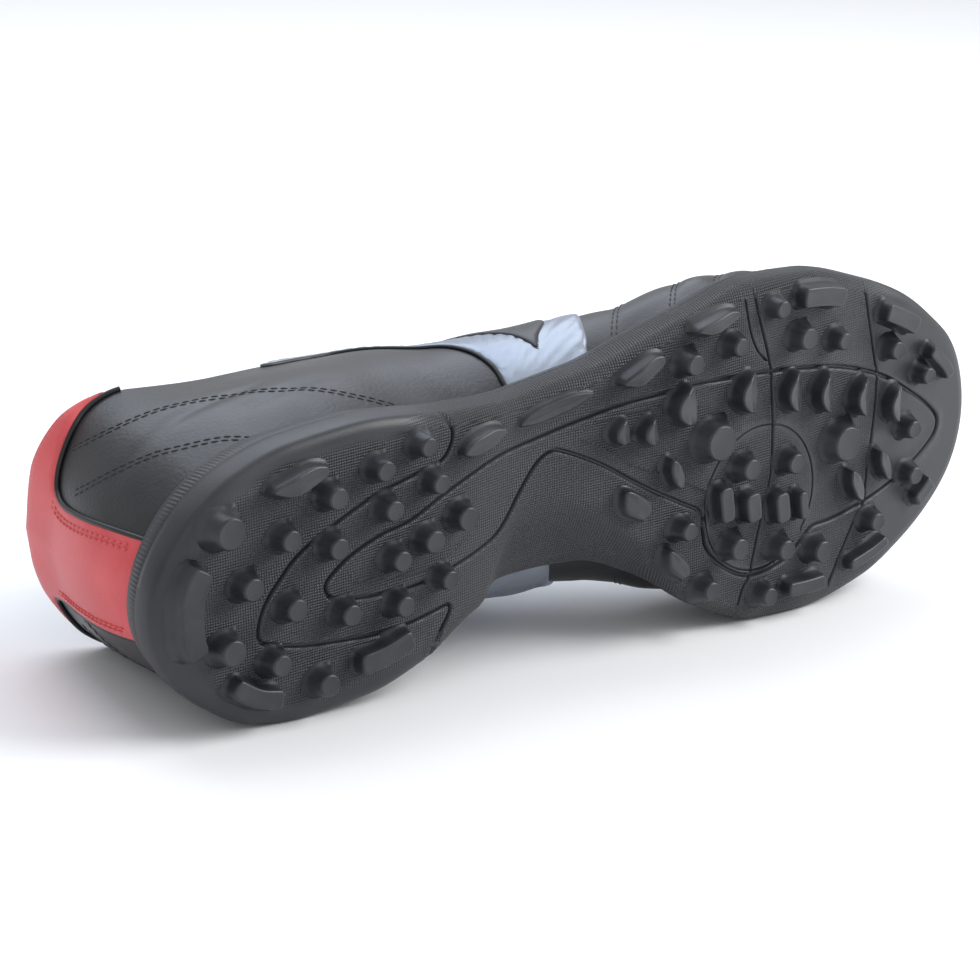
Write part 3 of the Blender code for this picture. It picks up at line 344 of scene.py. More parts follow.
# Studio: a white room with a soft light from the upper right and one from the left
KEY = ((0.85, -0.55, 0.75), 0.8, 15.0)
FILL = ((-0.95, -0.60, 0.45), 0.9, 1.2)
RIM_LIGHT = ((0.15, 0.55, 0.85), 0.9, 6.0)
scene = bpy.context.scene
world = bpy.data.worlds.new("white room")
world.use_nodes = True
world.node_tree.nodes["Background"].inputs["Color"].default_value = (0.96, 0.975, 1.0, 1.0)
world.node_tree.nodes["Background"].inputs["Strength"].default_value = 0.62
scene.world = world
scene.view_settings.view_transform = "Standard"
for name, (spot, size, power) in (("key light", KEY), ("fill light", FILL),
                                  ("back light", RIM_LIGHT)):
    lamp = bpy.data.lights.new(name, "AREA")
    lamp.size = size
    lamp.energy = power
    if name == "back light":
        lamp.color = (0.80, 0.88, 1.0)
    light = bpy.data.objects.new(name, lamp)
    light.location = spot
    light.rotation_euler = (Vector((0.0, 0.0, 0.04)) - Vector(spot)).to_track_quat("-Z", "Y").to_euler()
    scene.collection.objects.link(light)


class Value:
    """A number in a material's nodes, which adds, multiplies and so on."""

    def __init__(self, shade, socket):
        self.shade = shade
        self.socket = socket

    def _math(self, operation, other=0.0):
        return self.shade.node("ShaderNodeMath", {0: self, 1: other}, operation=operation)

    def __add__(self, other):
        return self._math("ADD", other)

    def __sub__(self, other):
        return self._math("SUBTRACT", other)

    def __mul__(self, other):
        return self._math("MULTIPLY", other)

    def sine(self):
        return self._math("SINE")

    def power(self, other):
        return self._math("POWER", other)

    def absolute(self):
        return self._math("ABSOLUTE")


class Shade:
    """One material, with its nodes made by name and fed by values."""

    def __init__(self, name):
        self.material = bpy.data.materials.new(name)
        self.material.use_nodes = True
        self.tree = self.material.node_tree
        self.surface = self.tree.nodes["Principled BSDF"]

    def feed(self, socket, value):
        if isinstance(value, Value):
            self.tree.links.new(value.socket, socket)
        else:
            socket.default_value = value

    def node(self, kind, inputs=None, output=0, **settings):
        made = self.tree.nodes.new(kind)
        for name, value in settings.items():
            setattr(made, name, value)
        for key, value in (inputs or {}).items():
            self.feed(made.inputs[key], value)
        return Value(self, made.outputs[output])

    def set(self, **inputs):
        for name, value in inputs.items():
            self.feed(self.surface.inputs[name.replace("_", " ")], value)

    def attribute(self, name):
        return self.node("ShaderNodeAttribute", output="Fac", attribute_name=name)

    def noise(self, scale, detail=3.0, where=None):
        inputs = {"Scale": scale, "Detail": detail}
        inputs["Vector"] = where or self.node("ShaderNodeTexCoord", output="Object")
        return self.node("ShaderNodeTexNoise", inputs)

    def mix(self, share, low, high):
        made = self.tree.nodes.new("ShaderNodeMix")
        made.data_type = "RGBA"
        self.feed(made.inputs["Factor"], share)
        self.feed(made.inputs[6], low)
        self.feed(made.inputs[7], high)
        return Value(self, made.outputs[2])

    def span(self, value, low, high, start, end):
        return self.node("ShaderNodeMapRange", {"Value": value, "From Min": low, "From Max": high,
                                                "To Min": start, "To Max": end})

    def bump(self, height, distance, strength=1.0, under=None):
        inputs = {"Height": height, "Distance": distance, "Strength": strength}
        if under is not None:
            inputs["Normal"] = under
        return self.node("ShaderNodeBump", inputs)


floor_shade = Shade("white floor")
floor_shade.set(Base_Color=(0.93, 0.93, 0.94, 1.0), Roughness=0.6)
bpy.ops.mesh.primitive_plane_add(size=8.0)
ground = bpy.context.object
ground.name = "floor"
ground.data.materials.append(floor_shade.material)
ground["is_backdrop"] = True


def piece(name, points, faces, shade, stands_for=(), layers=None, merge=0.0,
          closed=False, smooth=0.7):
    """A mesh in the shoe's frame made into a laid, shaded and riding piece."""
    mesh = bpy.data.meshes.new(name)
    mesh.from_pydata([tuple(p) for p in laid(points)], [], [tuple(f) for f in faces])
    for layer, values in (layers or {}).items():
        made = mesh.attributes.new(layer, "FLOAT", "POINT")
        made.data.foreach_set("value", np.asarray(values, np.float32))
    tool = bmesh.new()
    tool.from_mesh(mesh)
    if merge:
        bmesh.ops.remove_doubles(tool, verts=tool.verts, dist=merge)
    loose = [vertex for vertex in tool.verts if not vertex.link_faces]
    bmesh.ops.delete(tool, geom=loose, context="VERTS")
    if closed:
        bmesh.ops.recalc_face_normals(tool, faces=tool.faces)
    for vertex in tool.verts:
        vertex.co.z = max(vertex.co.z, 0.00002)
    tool.to_mesh(mesh)
    tool.free()
    mesh.materials.append(shade.material)
    mesh.shade_smooth()
    mesh.set_sharp_from_angle(angle=smooth)
    made = bpy.data.objects.new(name, mesh)
    scene.collection.objects.link(made)
    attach(made, "root")
    if stands_for:
        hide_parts(*stands_for)
    return made


def grid_faces(rows, columns, first=0, wrap=False):
    """Quads of a grid of points stored row by row."""
    faces = []
    for a in range(rows - 1):
        for b in range(columns if wrap else columns - 1):
            c = (b + 1) % columns
            start, over = first + a * columns, first + (a + 1) * columns
            faces.append((start + b, start + c, over + c, over + b))
    return faces


# Outsole: one rubber unit with its grooves, lips and rounded edge. The tread is a
# net of triangles that follows each groove, and the wall is a stack of rings.
RING_COUNT = 900
NET_STEP = 0.0022
GROOVE_HALF = 0.00042
GROOVE_DEPTH = 0.0009
LIP_HEIGHT = 0.00035
TREAD_INSET = 1.3 * EDGE_RADIUS
GROOVES = (
    # closed, width and depth as a share, then points in millimetres
    (False, 1.0, (
        (85.9, -38.7), (91.2, -32.5), (92.5, -28.7), (91.3, -25.2), (88.0, -22.4),
        (81.2, -21.2), (68.0, -18.9), (55.3, -14.4), (42.7, -8.5), (36.3, -2.9), (31.5, 2.7),
        (29.1, 8.8), (29.6, 12.3), (32.5, 13.7), (41.5, 16.3), (53.9, 18.1), (66.5, 19.2),
        (76.4, 18.8), (85.6, 17.7), (89.4, 17.4), (89.6, 19.6), (86.0, 24.5), (82.0, 31.5))),
    (True, 1.0, (
        (174.9, -25.5), (161.1, -25.2), (148.1, -24.6), (135.7, -22.7), (123.1, -20.5),
        (109.5, -18.6), (98.5, -15.9), (87.7, -12.7), (77.4, -9.0), (67.6, -7.4), (57.9, -4.0),
        (51.5, 0.1), (49.9, 2.7), (51.3, 5.7), (55.9, 7.2), (66.9, 8.6), (80.1, 9.0),
        (94.1, 7.0), (105.2, 3.9), (110.7, -0.2), (116.2, -7.2), (122.0, -13.6),
        (126.9, -15.8), (131.0, -14.7), (141.7, -9.3), (154.3, -0.8), (167.7, 7.2),
        (174.7, 11.4), (175.4, 16.8), (176.8, 23.0), (182.0, 28.7), (190.3, 33.8),
        (199.1, 34.6), (207.0, 33.1), (213.1, 29.3), (217.5, 26.2), (225.4, 25.9),
        (238.1, 24.4), (249.1, 22.1), (260.2, 18.1), (268.5, 13.5), (271.6, 9.7),
        (270.6, 5.5), (262.0, -1.8), (246.1, -11.7), (229.0, -18.1), (212.6, -21.5),
        (197.0, -23.6))),
    (False, 0.75, (
        (193.6, -51.0), (196.9, -38.7), (200.4, -26.0), (201.6, -14.7), (201.7, -3.1),
        (201.0, 6.9), (196.4, 22.0), (192.6, 34.4), (190.3, 38.0), (187.0, 46.0))),
    (False, 0.6, ((190.6, -49.5), (193.2, -36.7), (195.8, -30.4), (198.9, -26.9))),
    (False, 0.75, (
        (238.4, -41.0), (241.5, -26.0), (243.9, -13.7), (244.1, -4.7), (242.1, 6.8),
        (240.6, 15.4), (239.0, 24.0), (236.0, 28.3), (231.8, 34.2), (224.6, 45.2))),
    (False, 0.45, tuple((197.0 + 20.8 * math.cos(t), 12.5 + 20.8 * math.sin(t))
                        for t in np.linspace(0.9, 2 * math.pi + 0.7, 30))),
)
RAISED = (
    # thin raised lines
    ((174.8, -19.3), (161.1, -21.6), (148.1, -21.9), (138.8, -20.8), (136.0, -17.9),
     (141.8, -14.0), (154.3, -5.9), (167.7, 0.6), (176.5, 5.5)),
    ((98.0, 0.5), (87.1, 4.5), (76.9, 5.4), (63.9, 4.0), (58.9, 2.7), (58.7, 0.5)),
    ((116.6, -25.7), (124.9, -27.6), (134.3, -30.5), (142.0, -33.3)),
    ((3.7, -9.0), (5.8, -13.9), (9.5, -19.7), (13.8, -24.9), (18.3, -29.6), (25.9, -34.4)),
)


def soft_line(points, step, closed=False):
    """A smooth line through some points, in even steps."""
    points = np.asarray(points, float)
    if closed:
        points = np.vstack([points[-2:], points, points[:3]])
    else:
        points = np.vstack([2 * points[:1] - points[1:2], points, 2 * points[-1:] - points[-2:-1]])
    run = []
    for a, b, c, d in zip(points[:-3], points[1:-2], points[2:-1], points[3:]):
        t = np.linspace(0, 1, 24, endpoint=False)[:, None]
        run.append(b + 0.5 * t * (c - a + t * (2 * a - 5 * b + 4 * c - d
                                               + t * (3 * (b - c) + d - a))))
    run = np.vstack(run + ([] if closed else [points[-2:-1]]))
    if closed:
        run = np.vstack([run[:-24], run[:1]])
    gone = np.concatenate(([0.0], np.cumsum(np.linalg.norm(np.diff(run, axis=0), axis=1))))
    count = max(int(gone[-1] / step), 2)
    at = np.linspace(0, gone[-1], count + 1)
    line = np.stack([np.interp(at, gone, run[:, n]) for n in range(run.shape[1])], axis=1)
    return line[:-1] if closed else line


def nearest(lines):
    """A function that gives each point's distance to some lines."""
    spots = np.vstack(lines)
    tree = KDTree(len(spots))
    for n, spot in enumerate(spots):
        tree.insert((spot[0], spot[1], 0.0), n)
    tree.balance()

    def distance(points):
        return np.array([tree.find((x, y, 0.0))[2] for x, y in points])
    return distance


groove_lines = [(soft_line(np.array(points) / 1000, 0.0003, closed), share, closed)
                for closed, share, points in GROOVES]
groove_finders = [(nearest([line]), share) for line, share, _ in groove_lines]
ridge_finder = nearest([soft_line(np.array(points) / 1000, 0.0003) for points in RAISED])


def relief(points):
    """How far the tread stands in or out of its plain form, at plan points."""
    depth = np.zeros(len(points))
    for finder, share in groove_finders:
        away = finder(points)
        half = GROOVE_HALF * share
        cut = GROOVE_DEPTH * share * (1 - ease(0.6 * half, 1.25 * half, away))
        lip = LIP_HEIGHT * share * (ease(1.1 * half, 2.4 * half, away)
                                    * (1 - ease(2.4 * half, 6.0 * half, away)))
        depth = np.where(cut > 0.0001, np.maximum(depth, cut), np.minimum(depth, depth - lip))
    return depth - 0.00035 * (1 - ease(0.0001, 0.0006, ridge_finder(points)))


ring_turns = np.linspace(-math.pi, math.pi, RING_COUNT, endpoint=False)
ring_edge, ring_out = edge_at(ring_turns)
ring_run = np.concatenate(([0.0], np.cumsum(np.linalg.norm(np.diff(ring_edge, axis=0), axis=1))))
wall_levels = []
for degrees in (0, 18, 36, 54, 72, 90):
    swing = math.radians(degrees)
    wall_levels.append((TREAD_INSET * (1 - math.sin(swing)), 0.0,
                        EDGE_RADIUS * (1 - math.cos(swing)), 1 - 0.15 * degrees / 18))
wall_levels += [
    # inset, share of the way to the rim, rise, share of the tread's relief
    (-0.0001, 0.22, 0.5 * EDGE_RADIUS, 0.0),
    (0.0, 0.42, 0.2 * EDGE_RADIUS, 0.0),
    (0.15 * RIM_LEAN, 0.56, 0.0, 0.0),
    (0.15 * RIM_LEAN + 0.5 * SIDE_STEP, 0.575, 0.0, 0.0),
    (0.15 * RIM_LEAN + 0.9 * SIDE_STEP, 0.60, 0.0, 0.0),
    (0.15 * RIM_LEAN + 0.7 * SIDE_STEP, 0.65, 0.0, 0.0),
    (0.75 * RIM_LEAN, 0.82, 0.0, 0.0),
    (RIM_LEAN, 1.0, -0.0010, 0.0),
    (RIM_LEAN + 0.1 * RIM_WALL, 1.0, -0.0004, 0.0),
    (RIM_LEAN + 0.35 * RIM_WALL, 1.0, 0.0, 0.0),
    (RIM_LEAN + 0.85 * RIM_WALL, 1.0, 0.0, 0.0),
    (RIM_LEAN + RIM_WALL, 1.0, -0.0004, 0.0),
    (RIM_LEAN + RIM_WALL, 0.75, 0.0, 0.0),
]
sole_points, sole_layers = [], {"run": [], "rise": [], "arc": [], "knurl": [], "ribs": []}
ring_along = along_of(ring_turns)
waist = ease(0.26, 0.34, ring_along) * (1 - ease(0.80, 0.9, ring_along))
unrolled = np.zeros(RING_COUNT)
for inset, share, rise, weight in wall_levels:
    if 0.57 < share < 0.7:
        inset = 0.15 * RIM_LEAN + (inset - 0.15 * RIM_LEAN) * (1 - 0.85 * waist)[:, None]
    plan = ring_edge - ring_out * inset
    low = tread_height(plan[:, 0], plan[:, 1])
    z = low + (rim_height(plan[:, 0]) - low) * share + rise
    if weight > 0:
        z = z + relief(plan) * weight
    points = np.column_stack([plan, z])
    if sole_points:
        unrolled = unrolled + np.linalg.norm(points - sole_points[-1], axis=1)
    sole_points.append(points)
    spread = sole_points[0][:, :2] + ring_out * unrolled[:, None]
    sole_layers["run"].append(spread[:, 0])
    sole_layers["rise"].append(spread[:, 1])
    sole_layers["arc"].append(ring_run)
    upper_band = float(ease(0.62, 0.68, share) * (1 - ease(0.9, 1.0, share)))
    sole_layers["knurl"].append(waist * (1 - ease(0.80, 1.0, share)) * np.ones(RING_COUNT))
    sole_layers["ribs"].append(upper_band * (1 - waist))
wall_faces = grid_faces(len(wall_levels), RING_COUNT, wrap=True)
# The net of the tread
border = sole_points[0][:, :2]
net_points = [tuple(point) for point in border]
net_edges = [(n, (n + 1) % RING_COUNT) for n in range(RING_COUNT)]
border_distance = nearest([border])


def inside(points):
    """Which plan points lie inside the border of the tread, more than 0.6 mm in."""
    x, y = points[:, 0], points[:, 1]
    hits = np.zeros(len(points), int)
    for (x0, y0), (x1, y1) in zip(border, np.roll(border, -1, axis=0)):
        crosses = (y0 > y) != (y1 > y)
        at = x0 + (y - y0) / np.where(y1 == y0, 1e-12, y1 - y0) * (x1 - x0)
        hits += crosses & (x < at)
    return (hits % 2 == 1) & (border_distance(points) > 0.0006)


for line, share, closed in groove_lines:
    line = line[::3]
    ahead = np.gradient(line, axis=0)
    if closed:
        ahead = np.roll(line, -1, axis=0) - np.roll(line, 1, axis=0)
    aside = np.column_stack([-ahead[:, 1], ahead[:, 0]])
    aside = aside / np.linalg.norm(aside, axis=1, keepdims=True)
    half = GROOVE_HALF * share
    for offset in (-3.6, -2.2, -1.3, -0.55, 0.55, 1.3, 2.2, 3.6):
        strip = line + aside * offset * half
        within = inside(strip)
        first = len(net_points)
        index = np.full(len(strip), -1)
        index[within] = first + np.arange(within.sum())
        net_points += [tuple(point) for point in strip[within]]
        if abs(offset) < 2:
            pairs = zip(index, np.roll(index, -1)) if closed else zip(index[:-1], index[1:])
            net_edges += [(int(a), int(b)) for a, b in pairs if a >= 0 and b >= 0]
net_x, net_y = np.meshgrid(np.arange(0.001, LENGTH, NET_STEP),
                           np.arange(-0.055, 0.055, NET_STEP))
net_x = net_x + 0.5 * NET_STEP * (np.arange(len(net_x)) % 2)[:, None]
loose_net = np.column_stack([net_x.ravel(), net_y.ravel()])
loose_net = loose_net[inside(loose_net)]
near_groove = np.min([finder(loose_net) for finder, _ in groove_finders], axis=0)
net_points += [tuple(point) for point in loose_net[near_groove > 0.0019]]
net_points += [tuple(point) for points in RAISED
               for offset in (0.0, 0.0006, -0.0006)
               for point in (soft_line(np.array(points) / 1000, 0.0008) + (0.0, offset))]
made_net = delaunay_2d_cdt([Vector(point) for point in net_points], net_edges, [], 1, 1e-7)
net_plan = np.array([tuple(point) for point in made_net[0]])
net_height = tread_height(net_plan[:, 0], net_plan[:, 1]) + relief(net_plan)
first = len(wall_levels) * RING_COUNT
wall_all = np.vstack(sole_points)
net_all = np.column_stack([net_plan, net_height])
net_groove = np.min([finder(net_plan) for finder, _ in groove_finders], axis=0)
net_waist = ease(0.26, 0.34, net_plan[:, 0] / LENGTH)
knurl = (np.maximum(ease(0.0008, 0.0030, border_distance(net_plan)), net_waist)
         * ease(0.0006, 0.0012, net_groove)
         * (1 - 0.45 * ease(0.70, 0.72, net_plan[:, 0] / LENGTH))
         * (1 - ease(0.83, 0.87, net_plan[:, 0] / LENGTH))
         * ease(0.03, 0.07, net_plan[:, 0] / LENGTH))
layers = {name: np.concatenate(values) for name, values in sole_layers.items()}
layers["run"] = np.concatenate([layers["run"], net_plan[:, 0]])
layers["rise"] = np.concatenate([layers["rise"], net_plan[:, 1]])
layers["arc"] = np.concatenate([layers["arc"], np.zeros(len(net_plan))])
layers["knurl"] = np.concatenate([layers["knurl"], knurl])
layers["ribs"] = np.concatenate([layers["ribs"], np.zeros(len(net_plan))])
net_faces = [tuple(first + i for i in reversed(face)) for face in made_net[2]]

RUBBER_COLOUR = (0.015, 0.0165, 0.021, 1.0)
RUBBER_WORN = (0.032, 0.033, 0.037, 1.0)
# painted highlight: a lighter colour for the tops of the knurl's raised diamonds
KNURL_PAINTED_HIGHLIGHT = (0.085, 0.085, 0.090, 1.0)
rubber = Shade("black rubber")
across = rubber.attribute("run") * (2 * math.pi / 0.00150)
onward = rubber.attribute("rise") * (2 * math.pi / 0.00150)
diamonds = (across + onward).sine() * (across - onward).sine() * rubber.attribute("knurl")
ribbing = (rubber.attribute("arc") * (2 * math.pi / 0.0012)).sine() * rubber.attribute("ribs")
speckle = rubber.noise(2600.0, 2.0)
patches = rubber.noise(38.0, 4.0)
heights = diamonds * 0.5 + ribbing * 0.16 + speckle * 0.10
plain = rubber.mix(rubber.span(patches, 0.35, 0.75, 0.0, 1.0), RUBBER_COLOUR, RUBBER_WORN)
# The raised diamonds of the knurl are mixed towards a lighter colour, a painted highlight on their
# tops.
rubber.set(Base_Color=rubber.mix(rubber.span(diamonds, 0.15, 1.0, 0.0, 0.75), plain, KNURL_PAINTED_HIGHLIGHT),
           Roughness=rubber.span(patches, 0.3, 0.7, 0.40, 0.52),
           Normal=rubber.bump(heights, 0.00045, 1.0))
outsole = piece("outsole", np.vstack([wall_all, net_all]), wall_faces + net_faces, rubber,
                ["outsole"], layers=layers, merge=1e-6, smooth=1.0)

# Studs and lugs of the tread: rounded forms on their flared feet, sunk in the sole
STUD_RADIUS = 0.003
STUD_FLARE = 0.0016
ROUND_STUDS = (
    # along, across, size
    (0.068, -0.68, 1.45), (0.130, -0.39, 1.00), (0.181, -0.58, 1.00), (0.233, -0.68, 0.95),
    (0.282, -0.80, 0.90), (0.180, -0.23, 1.00), (0.241, -0.39, 0.95), (0.295, -0.51, 0.90),
    (0.248, -0.02, 0.95), (0.286, -0.09, 1.05), (0.327, -0.19, 1.10), (0.133, 0.12, 1.05),
    (0.191, 0.27, 1.00), (0.250, 0.34, 0.95), (0.303, 0.29, 0.90), (0.088, -0.13, 1.05),
    (0.065, 0.36, 1.20), (0.114, 0.50, 1.00), (0.164, 0.73, 1.05), (0.592, -0.74, 1.00),
    (0.649, -0.71, 0.90), (0.704, -0.84, 0.85), (0.739, -0.64, 1.05), (0.790, -0.59, 0.85),
    (0.869, -0.52, 0.90), (0.918, -0.29, 0.82), (0.896, 0.14, 0.90), (0.663, 0.03, 1.05),
    (0.723, 0.075, 1.00), (0.647, 0.52, 1.05), (0.710, 0.57, 1.00), (0.584, 0.41, 0.90),
    (0.611, 0.84, 0.95), (0.687, 0.83, 0.90), (0.761, 0.64, 1.05), (0.841, 0.62, 0.90),
    (0.899, 0.48, 0.88), (0.624, -0.19, 1.70), (0.796, 0.06, 1.70),
)
SHAPED_LUGS = (
    # form, along, across, long, wide, turn in degrees, share of the stud's height
    ("half moon", 0.513, -0.46, 0.0070, 0.0050, 80, 0.75),
    ("half moon", 0.544, -0.39, 0.0076, 0.0052, 80, 0.85),
    ("half moon", 0.584, -0.475, 0.0112, 0.0075, 85, 1.00),
    ("half moon", 0.662, -0.40, 0.0115, 0.0070, 90, 1.00),
    ("half moon", 0.723, -0.33, 0.0115, 0.0065, 92, 1.00),
    ("half moon", 0.767, -0.28, 0.0115, 0.0060, 95, 1.00),
    ("half moon", 0.820, -0.20, 0.0110, 0.0060, 98, 1.00),
    ("half moon", 0.870, -0.09, 0.0105, 0.0055, 102, 1.00),
    ("leaf", 0.574, -0.06, 0.0105, 0.0050, 68, 0.80),
    ("leaf", 0.814, 0.345, 0.0125, 0.0056, 62, 0.90),
    ("leaf", 0.856, 0.30, 0.0120, 0.0050, 62, 0.90),
    ("leaf", 0.446, -0.81, 0.0262, 0.0046, -10, 0.25),
    ("leaf", 0.356, -0.74, 0.0180, 0.0058, -8, 0.75),
    ("bar", 0.633, 0.23, 0.0100, 0.0048, 84, 0.85),
    ("bar", 0.668, 0.275, 0.0082, 0.0052, 84, 0.85),
    ("bar", 0.707, 0.32, 0.0086, 0.0050, 84, 0.85),
    ("bar", 0.736, 0.34, 0.0080, 0.0030, 84, 0.85),
    ("wing", 0.144, -0.75, 0.0205, 0.0066, -3, 0.80),
    ("wing", 0.536, -0.83, 0.0170, 0.0062, -14, 0.80),
    ("wing", 0.624, -0.90, 0.0185, 0.0050, -4, 0.80),
    ("wing", 0.528, 0.15, 0.0130, 0.0080, 50, 0.60),
    ("wing", 0.574, 0.73, 0.0132, 0.0064, 55, 0.75),
)
EDGE_BARS = (
    # side, from, to, inset, width, share of the stud's height
    (1.0, 0.050, 0.110, 0.0082, 0.0050, 0.80),
    (1.0, 0.205, 0.273, 0.0115, 0.0055, 0.80),
    (1.0, 0.712, 0.768, 0.0088, 0.0040, 0.85),
    (1.0, 0.810, 0.872, 0.0090, 0.0030, 0.80),
    (1.0, 0.925, 0.952, 0.0105, 0.0040, 0.80),
    (-1.0, 0.738, 0.800, 0.0062, 0.0055, 0.85),
    (-1.0, 0.866, 0.917, 0.0072, 0.0050, 0.85),
    (-1.0, 0.949, 0.988, 0.0096, 0.0036, 0.80),
)
HEEL_BAR = (0.0072, 0.0064, 0.90)
LUG_RAMP = {"half moon": 0.42, "leaf": 0.2, "bar": 0.0, "wing": 0.35}
LUG_PROFILE = (
    # outward share of the flare, height as a share
    (1.30, -0.45), (1.00, -0.02), (0.55, 0.10), (0.30, 0.30), (0.16, 0.60), (0.04, 0.86),
    (-0.08, 0.96), (-0.26, 1.00), (-0.60, 0.985),
)


def form_of(kind, long, wide):
    """Plan of a shaped lug around its own middle, its long way along X."""
    a, b = long / 2, wide / 2
    if kind == "half moon":
        arc = [math.pi * n / 8 for n in range(9)]
        return [(a * math.cos(t), -b + 2 * b * math.sin(t)) for t in arc] + [
            (-0.5 * a, -1.08 * b), (0.0, -1.15 * b), (0.5 * a, -1.08 * b)]
    if kind == "leaf":
        return [(-a, 0), (-0.45 * a, -0.8 * b), (0.45 * a, -0.8 * b), (a, 0),
                (0.45 * a, 0.8 * b), (-0.45 * a, 0.8 * b)]
    if kind == "bar":
        return [(-a, -0.6 * b), (-0.8 * a, -b), (0.8 * a, -b), (a, -0.6 * b),
                (a, 0.6 * b), (0.8 * a, b), (-0.8 * a, b), (-a, 0.6 * b)]
    return [(-a, -0.2 * b), (0.5 * a, -b), (a, -0.5 * b), (0.9 * a, 0.3 * b), (-0.2 * a, b)]


def rounded_plan(corners, count=36):
    """A plan with its corners cut twice, in even steps and turning one way."""
    plan = np.array(corners, float)
    for _ in range(2):
        over = np.roll(plan, -1, axis=0)
        plan = np.stack([plan * 0.82 + over * 0.18, plan * 0.18 + over * 0.82],
                        axis=1).reshape(-1, 2)
    loop = np.vstack([plan, plan[:1]])
    gone = np.concatenate(([0.0], np.cumsum(np.linalg.norm(np.diff(loop, axis=0), axis=1))))
    at = np.linspace(0, gone[-1], count, endpoint=False)
    plan = np.stack([np.interp(at, gone, loop[:, n]) for n in (0, 1)], axis=1)
    over = np.roll(plan, -1, axis=0)
    area = (plan[:, 0] * over[:, 1] - over[:, 0] * plan[:, 1]).sum()
    return plan if area > 0 else plan[::-1]


def edge_place(side, along, inset):
    plan, out = edge_at(np.array([side * float(angle_of(along))]))
    return plan[0] - out[0] * inset


lug_points, lug_faces = [], []


def add_lug(plan, height, flat, shape=None, ramp=0.0):
    """One lug: rings from its sunk foot to its rounded top, and a cap. A ramp
    lowers its side to the toe."""
    middle = plan.mean(axis=0)
    ahead = np.roll(plan, -1, axis=0) - np.roll(plan, 1, axis=0)
    out = np.column_stack([ahead[:, 1], -ahead[:, 0]])
    out = out / np.linalg.norm(out, axis=1, keepdims=True)
    count = len(plan)
    first = sum(len(block) for block in lug_points)
    base = float(tread_height(*middle))
    rings = []
    for share, up in LUG_PROFILE:
        ring = plan + out * share * STUD_FLARE
        if shape is not None:
            ring = ring + shape(plan - middle, up)
        ground_at = tread_height(ring[:, 0], ring[:, 1])
        top_at = np.full(count, base) if flat else tread_height(ring[:, 0], ring[:, 1])
        toward = (ring[:, 0] - plan[:, 0].min()) / np.ptp(plan[:, 0])
        lower = 1 - ramp * ease(0.35, 1.0, toward)
        z = ground_at + (top_at - height - ground_at) * up * lower
        if up < 0:
            z = ground_at - up * 0.003
        rings.append(np.column_stack([ring, z]))
    lug_points.append(np.vstack(rings))
    cap = rings[-1].mean(axis=0)
    lug_points.append(cap[None, :])
    lug_faces.extend(tuple(face[::-1]) for face in
                     grid_faces(len(rings), count, first=first, wrap=True))
    last = first + (len(rings) - 1) * count
    lug_faces.extend((last + (n + 1) % count, last + n, last + count) for n in range(count))


def stud_shape(spot, up):
    """A sloped side to the heel, and a fin beside the foot on the other."""
    turn = np.arctan2(spot[:, 1], spot[:, 0])
    outward = np.column_stack([np.cos(turn), np.sin(turn)])
    reach = np.linalg.norm(spot, axis=1)

    def around(degrees, wide):
        gap = np.angle(np.exp(1j * (turn - math.radians(degrees))))
        return np.exp(-(gap / math.radians(wide)) ** 2)
    slope = 0.34 * around(180, 70) * (1 - float(ease(-0.1, 1.0, up)))
    fin = 0.42 * around(-50, 13) * (1 - float(ease(0.1, 0.95, up)))
    return outward * (reach * (slope + fin))[:, None]


for along, across_at, size in ROUND_STUDS:
    centre = on_sole(along, across_at)
    swings = np.linspace(0, 2 * math.pi, 40, endpoint=False)
    disc = centre + 0.97 * STUD_RADIUS * size * np.column_stack([np.cos(swings), np.sin(swings)])
    add_lug(disc, STUD_HEIGHT, True, stud_shape)
for kind, along, across_at, long, wide, degrees, share in SHAPED_LUGS:
    centre = on_sole(along, across_at)
    swing = math.radians(degrees)
    spin = np.array(((math.cos(swing), -math.sin(swing)), (math.sin(swing), math.cos(swing))))
    add_lug(centre + rounded_plan(form_of(kind, long, wide)) @ spin.T, share * STUD_HEIGHT, False,
            ramp=LUG_RAMP[kind])
for side, start, stop, inset, width, share in EDGE_BARS:
    places = np.linspace(start, stop, 7)
    bar = [edge_place(side, at, inset - width / 2) for at in places]
    bar += [edge_place(side, at, inset + width / 2) for at in places[::-1]]
    add_lug(rounded_plan(bar), share * STUD_HEIGHT, False)
bar_places = ((-1, 0.020), (-1, 0.010), (-1, 0.003), (1, 0.003), (1, 0.010))
bar = [edge_place(side, at, HEEL_BAR[0] - HEEL_BAR[1] / 2) for side, at in bar_places]
bar += [edge_place(side, at, HEEL_BAR[0] + HEEL_BAR[1] / 2) for side, at in bar_places[::-1]]
add_lug(rounded_plan(bar), HEEL_BAR[2] * STUD_HEIGHT, False)

stud_rubber = Shade("black stud rubber")
wear = stud_rubber.noise(160.0, 4.0)
stud_rubber.set(Base_Color=stud_rubber.mix(stud_rubber.span(wear, 0.4, 0.8, 0.0, 1.0),
                                           RUBBER_COLOUR, RUBBER_WORN),
                Roughness=stud_rubber.span(wear, 0.3, 0.7, 0.36, 0.5),
                Normal=stud_rubber.bump(stud_rubber.noise(1400.0, 3.0), 0.00006, 0.7))
studs = piece("studs", np.vstack(lug_points), lug_faces, stud_rubber,
              closed=False, smooth=0.75)

# Upper: black leather from the cup to the collar, with its rolled collar edge and
# the soft creases and puffs of the vamp
TURNS = 620
LEVELS = 54
COLLAR_ROLL = (25, 55, 90, 125, 155)
SEAM_DEPTH = 0.00045
PUFF = 0.0010
VAMP_SLANT = 0.23
VAMP_SEAMS = (0.582, 0.650, 0.708, 0.758, 0.800)
open_turn = float(angle_of(THROAT_END))
turns = np.linspace(-math.pi, math.pi, TURNS + 1)
levels = np.concatenate([np.linspace(0.02, 0.1, 4)[:-1], np.linspace(0.1, 1.0, LEVELS)])
turn_grid, level_grid = np.meshgrid(turns, levels)


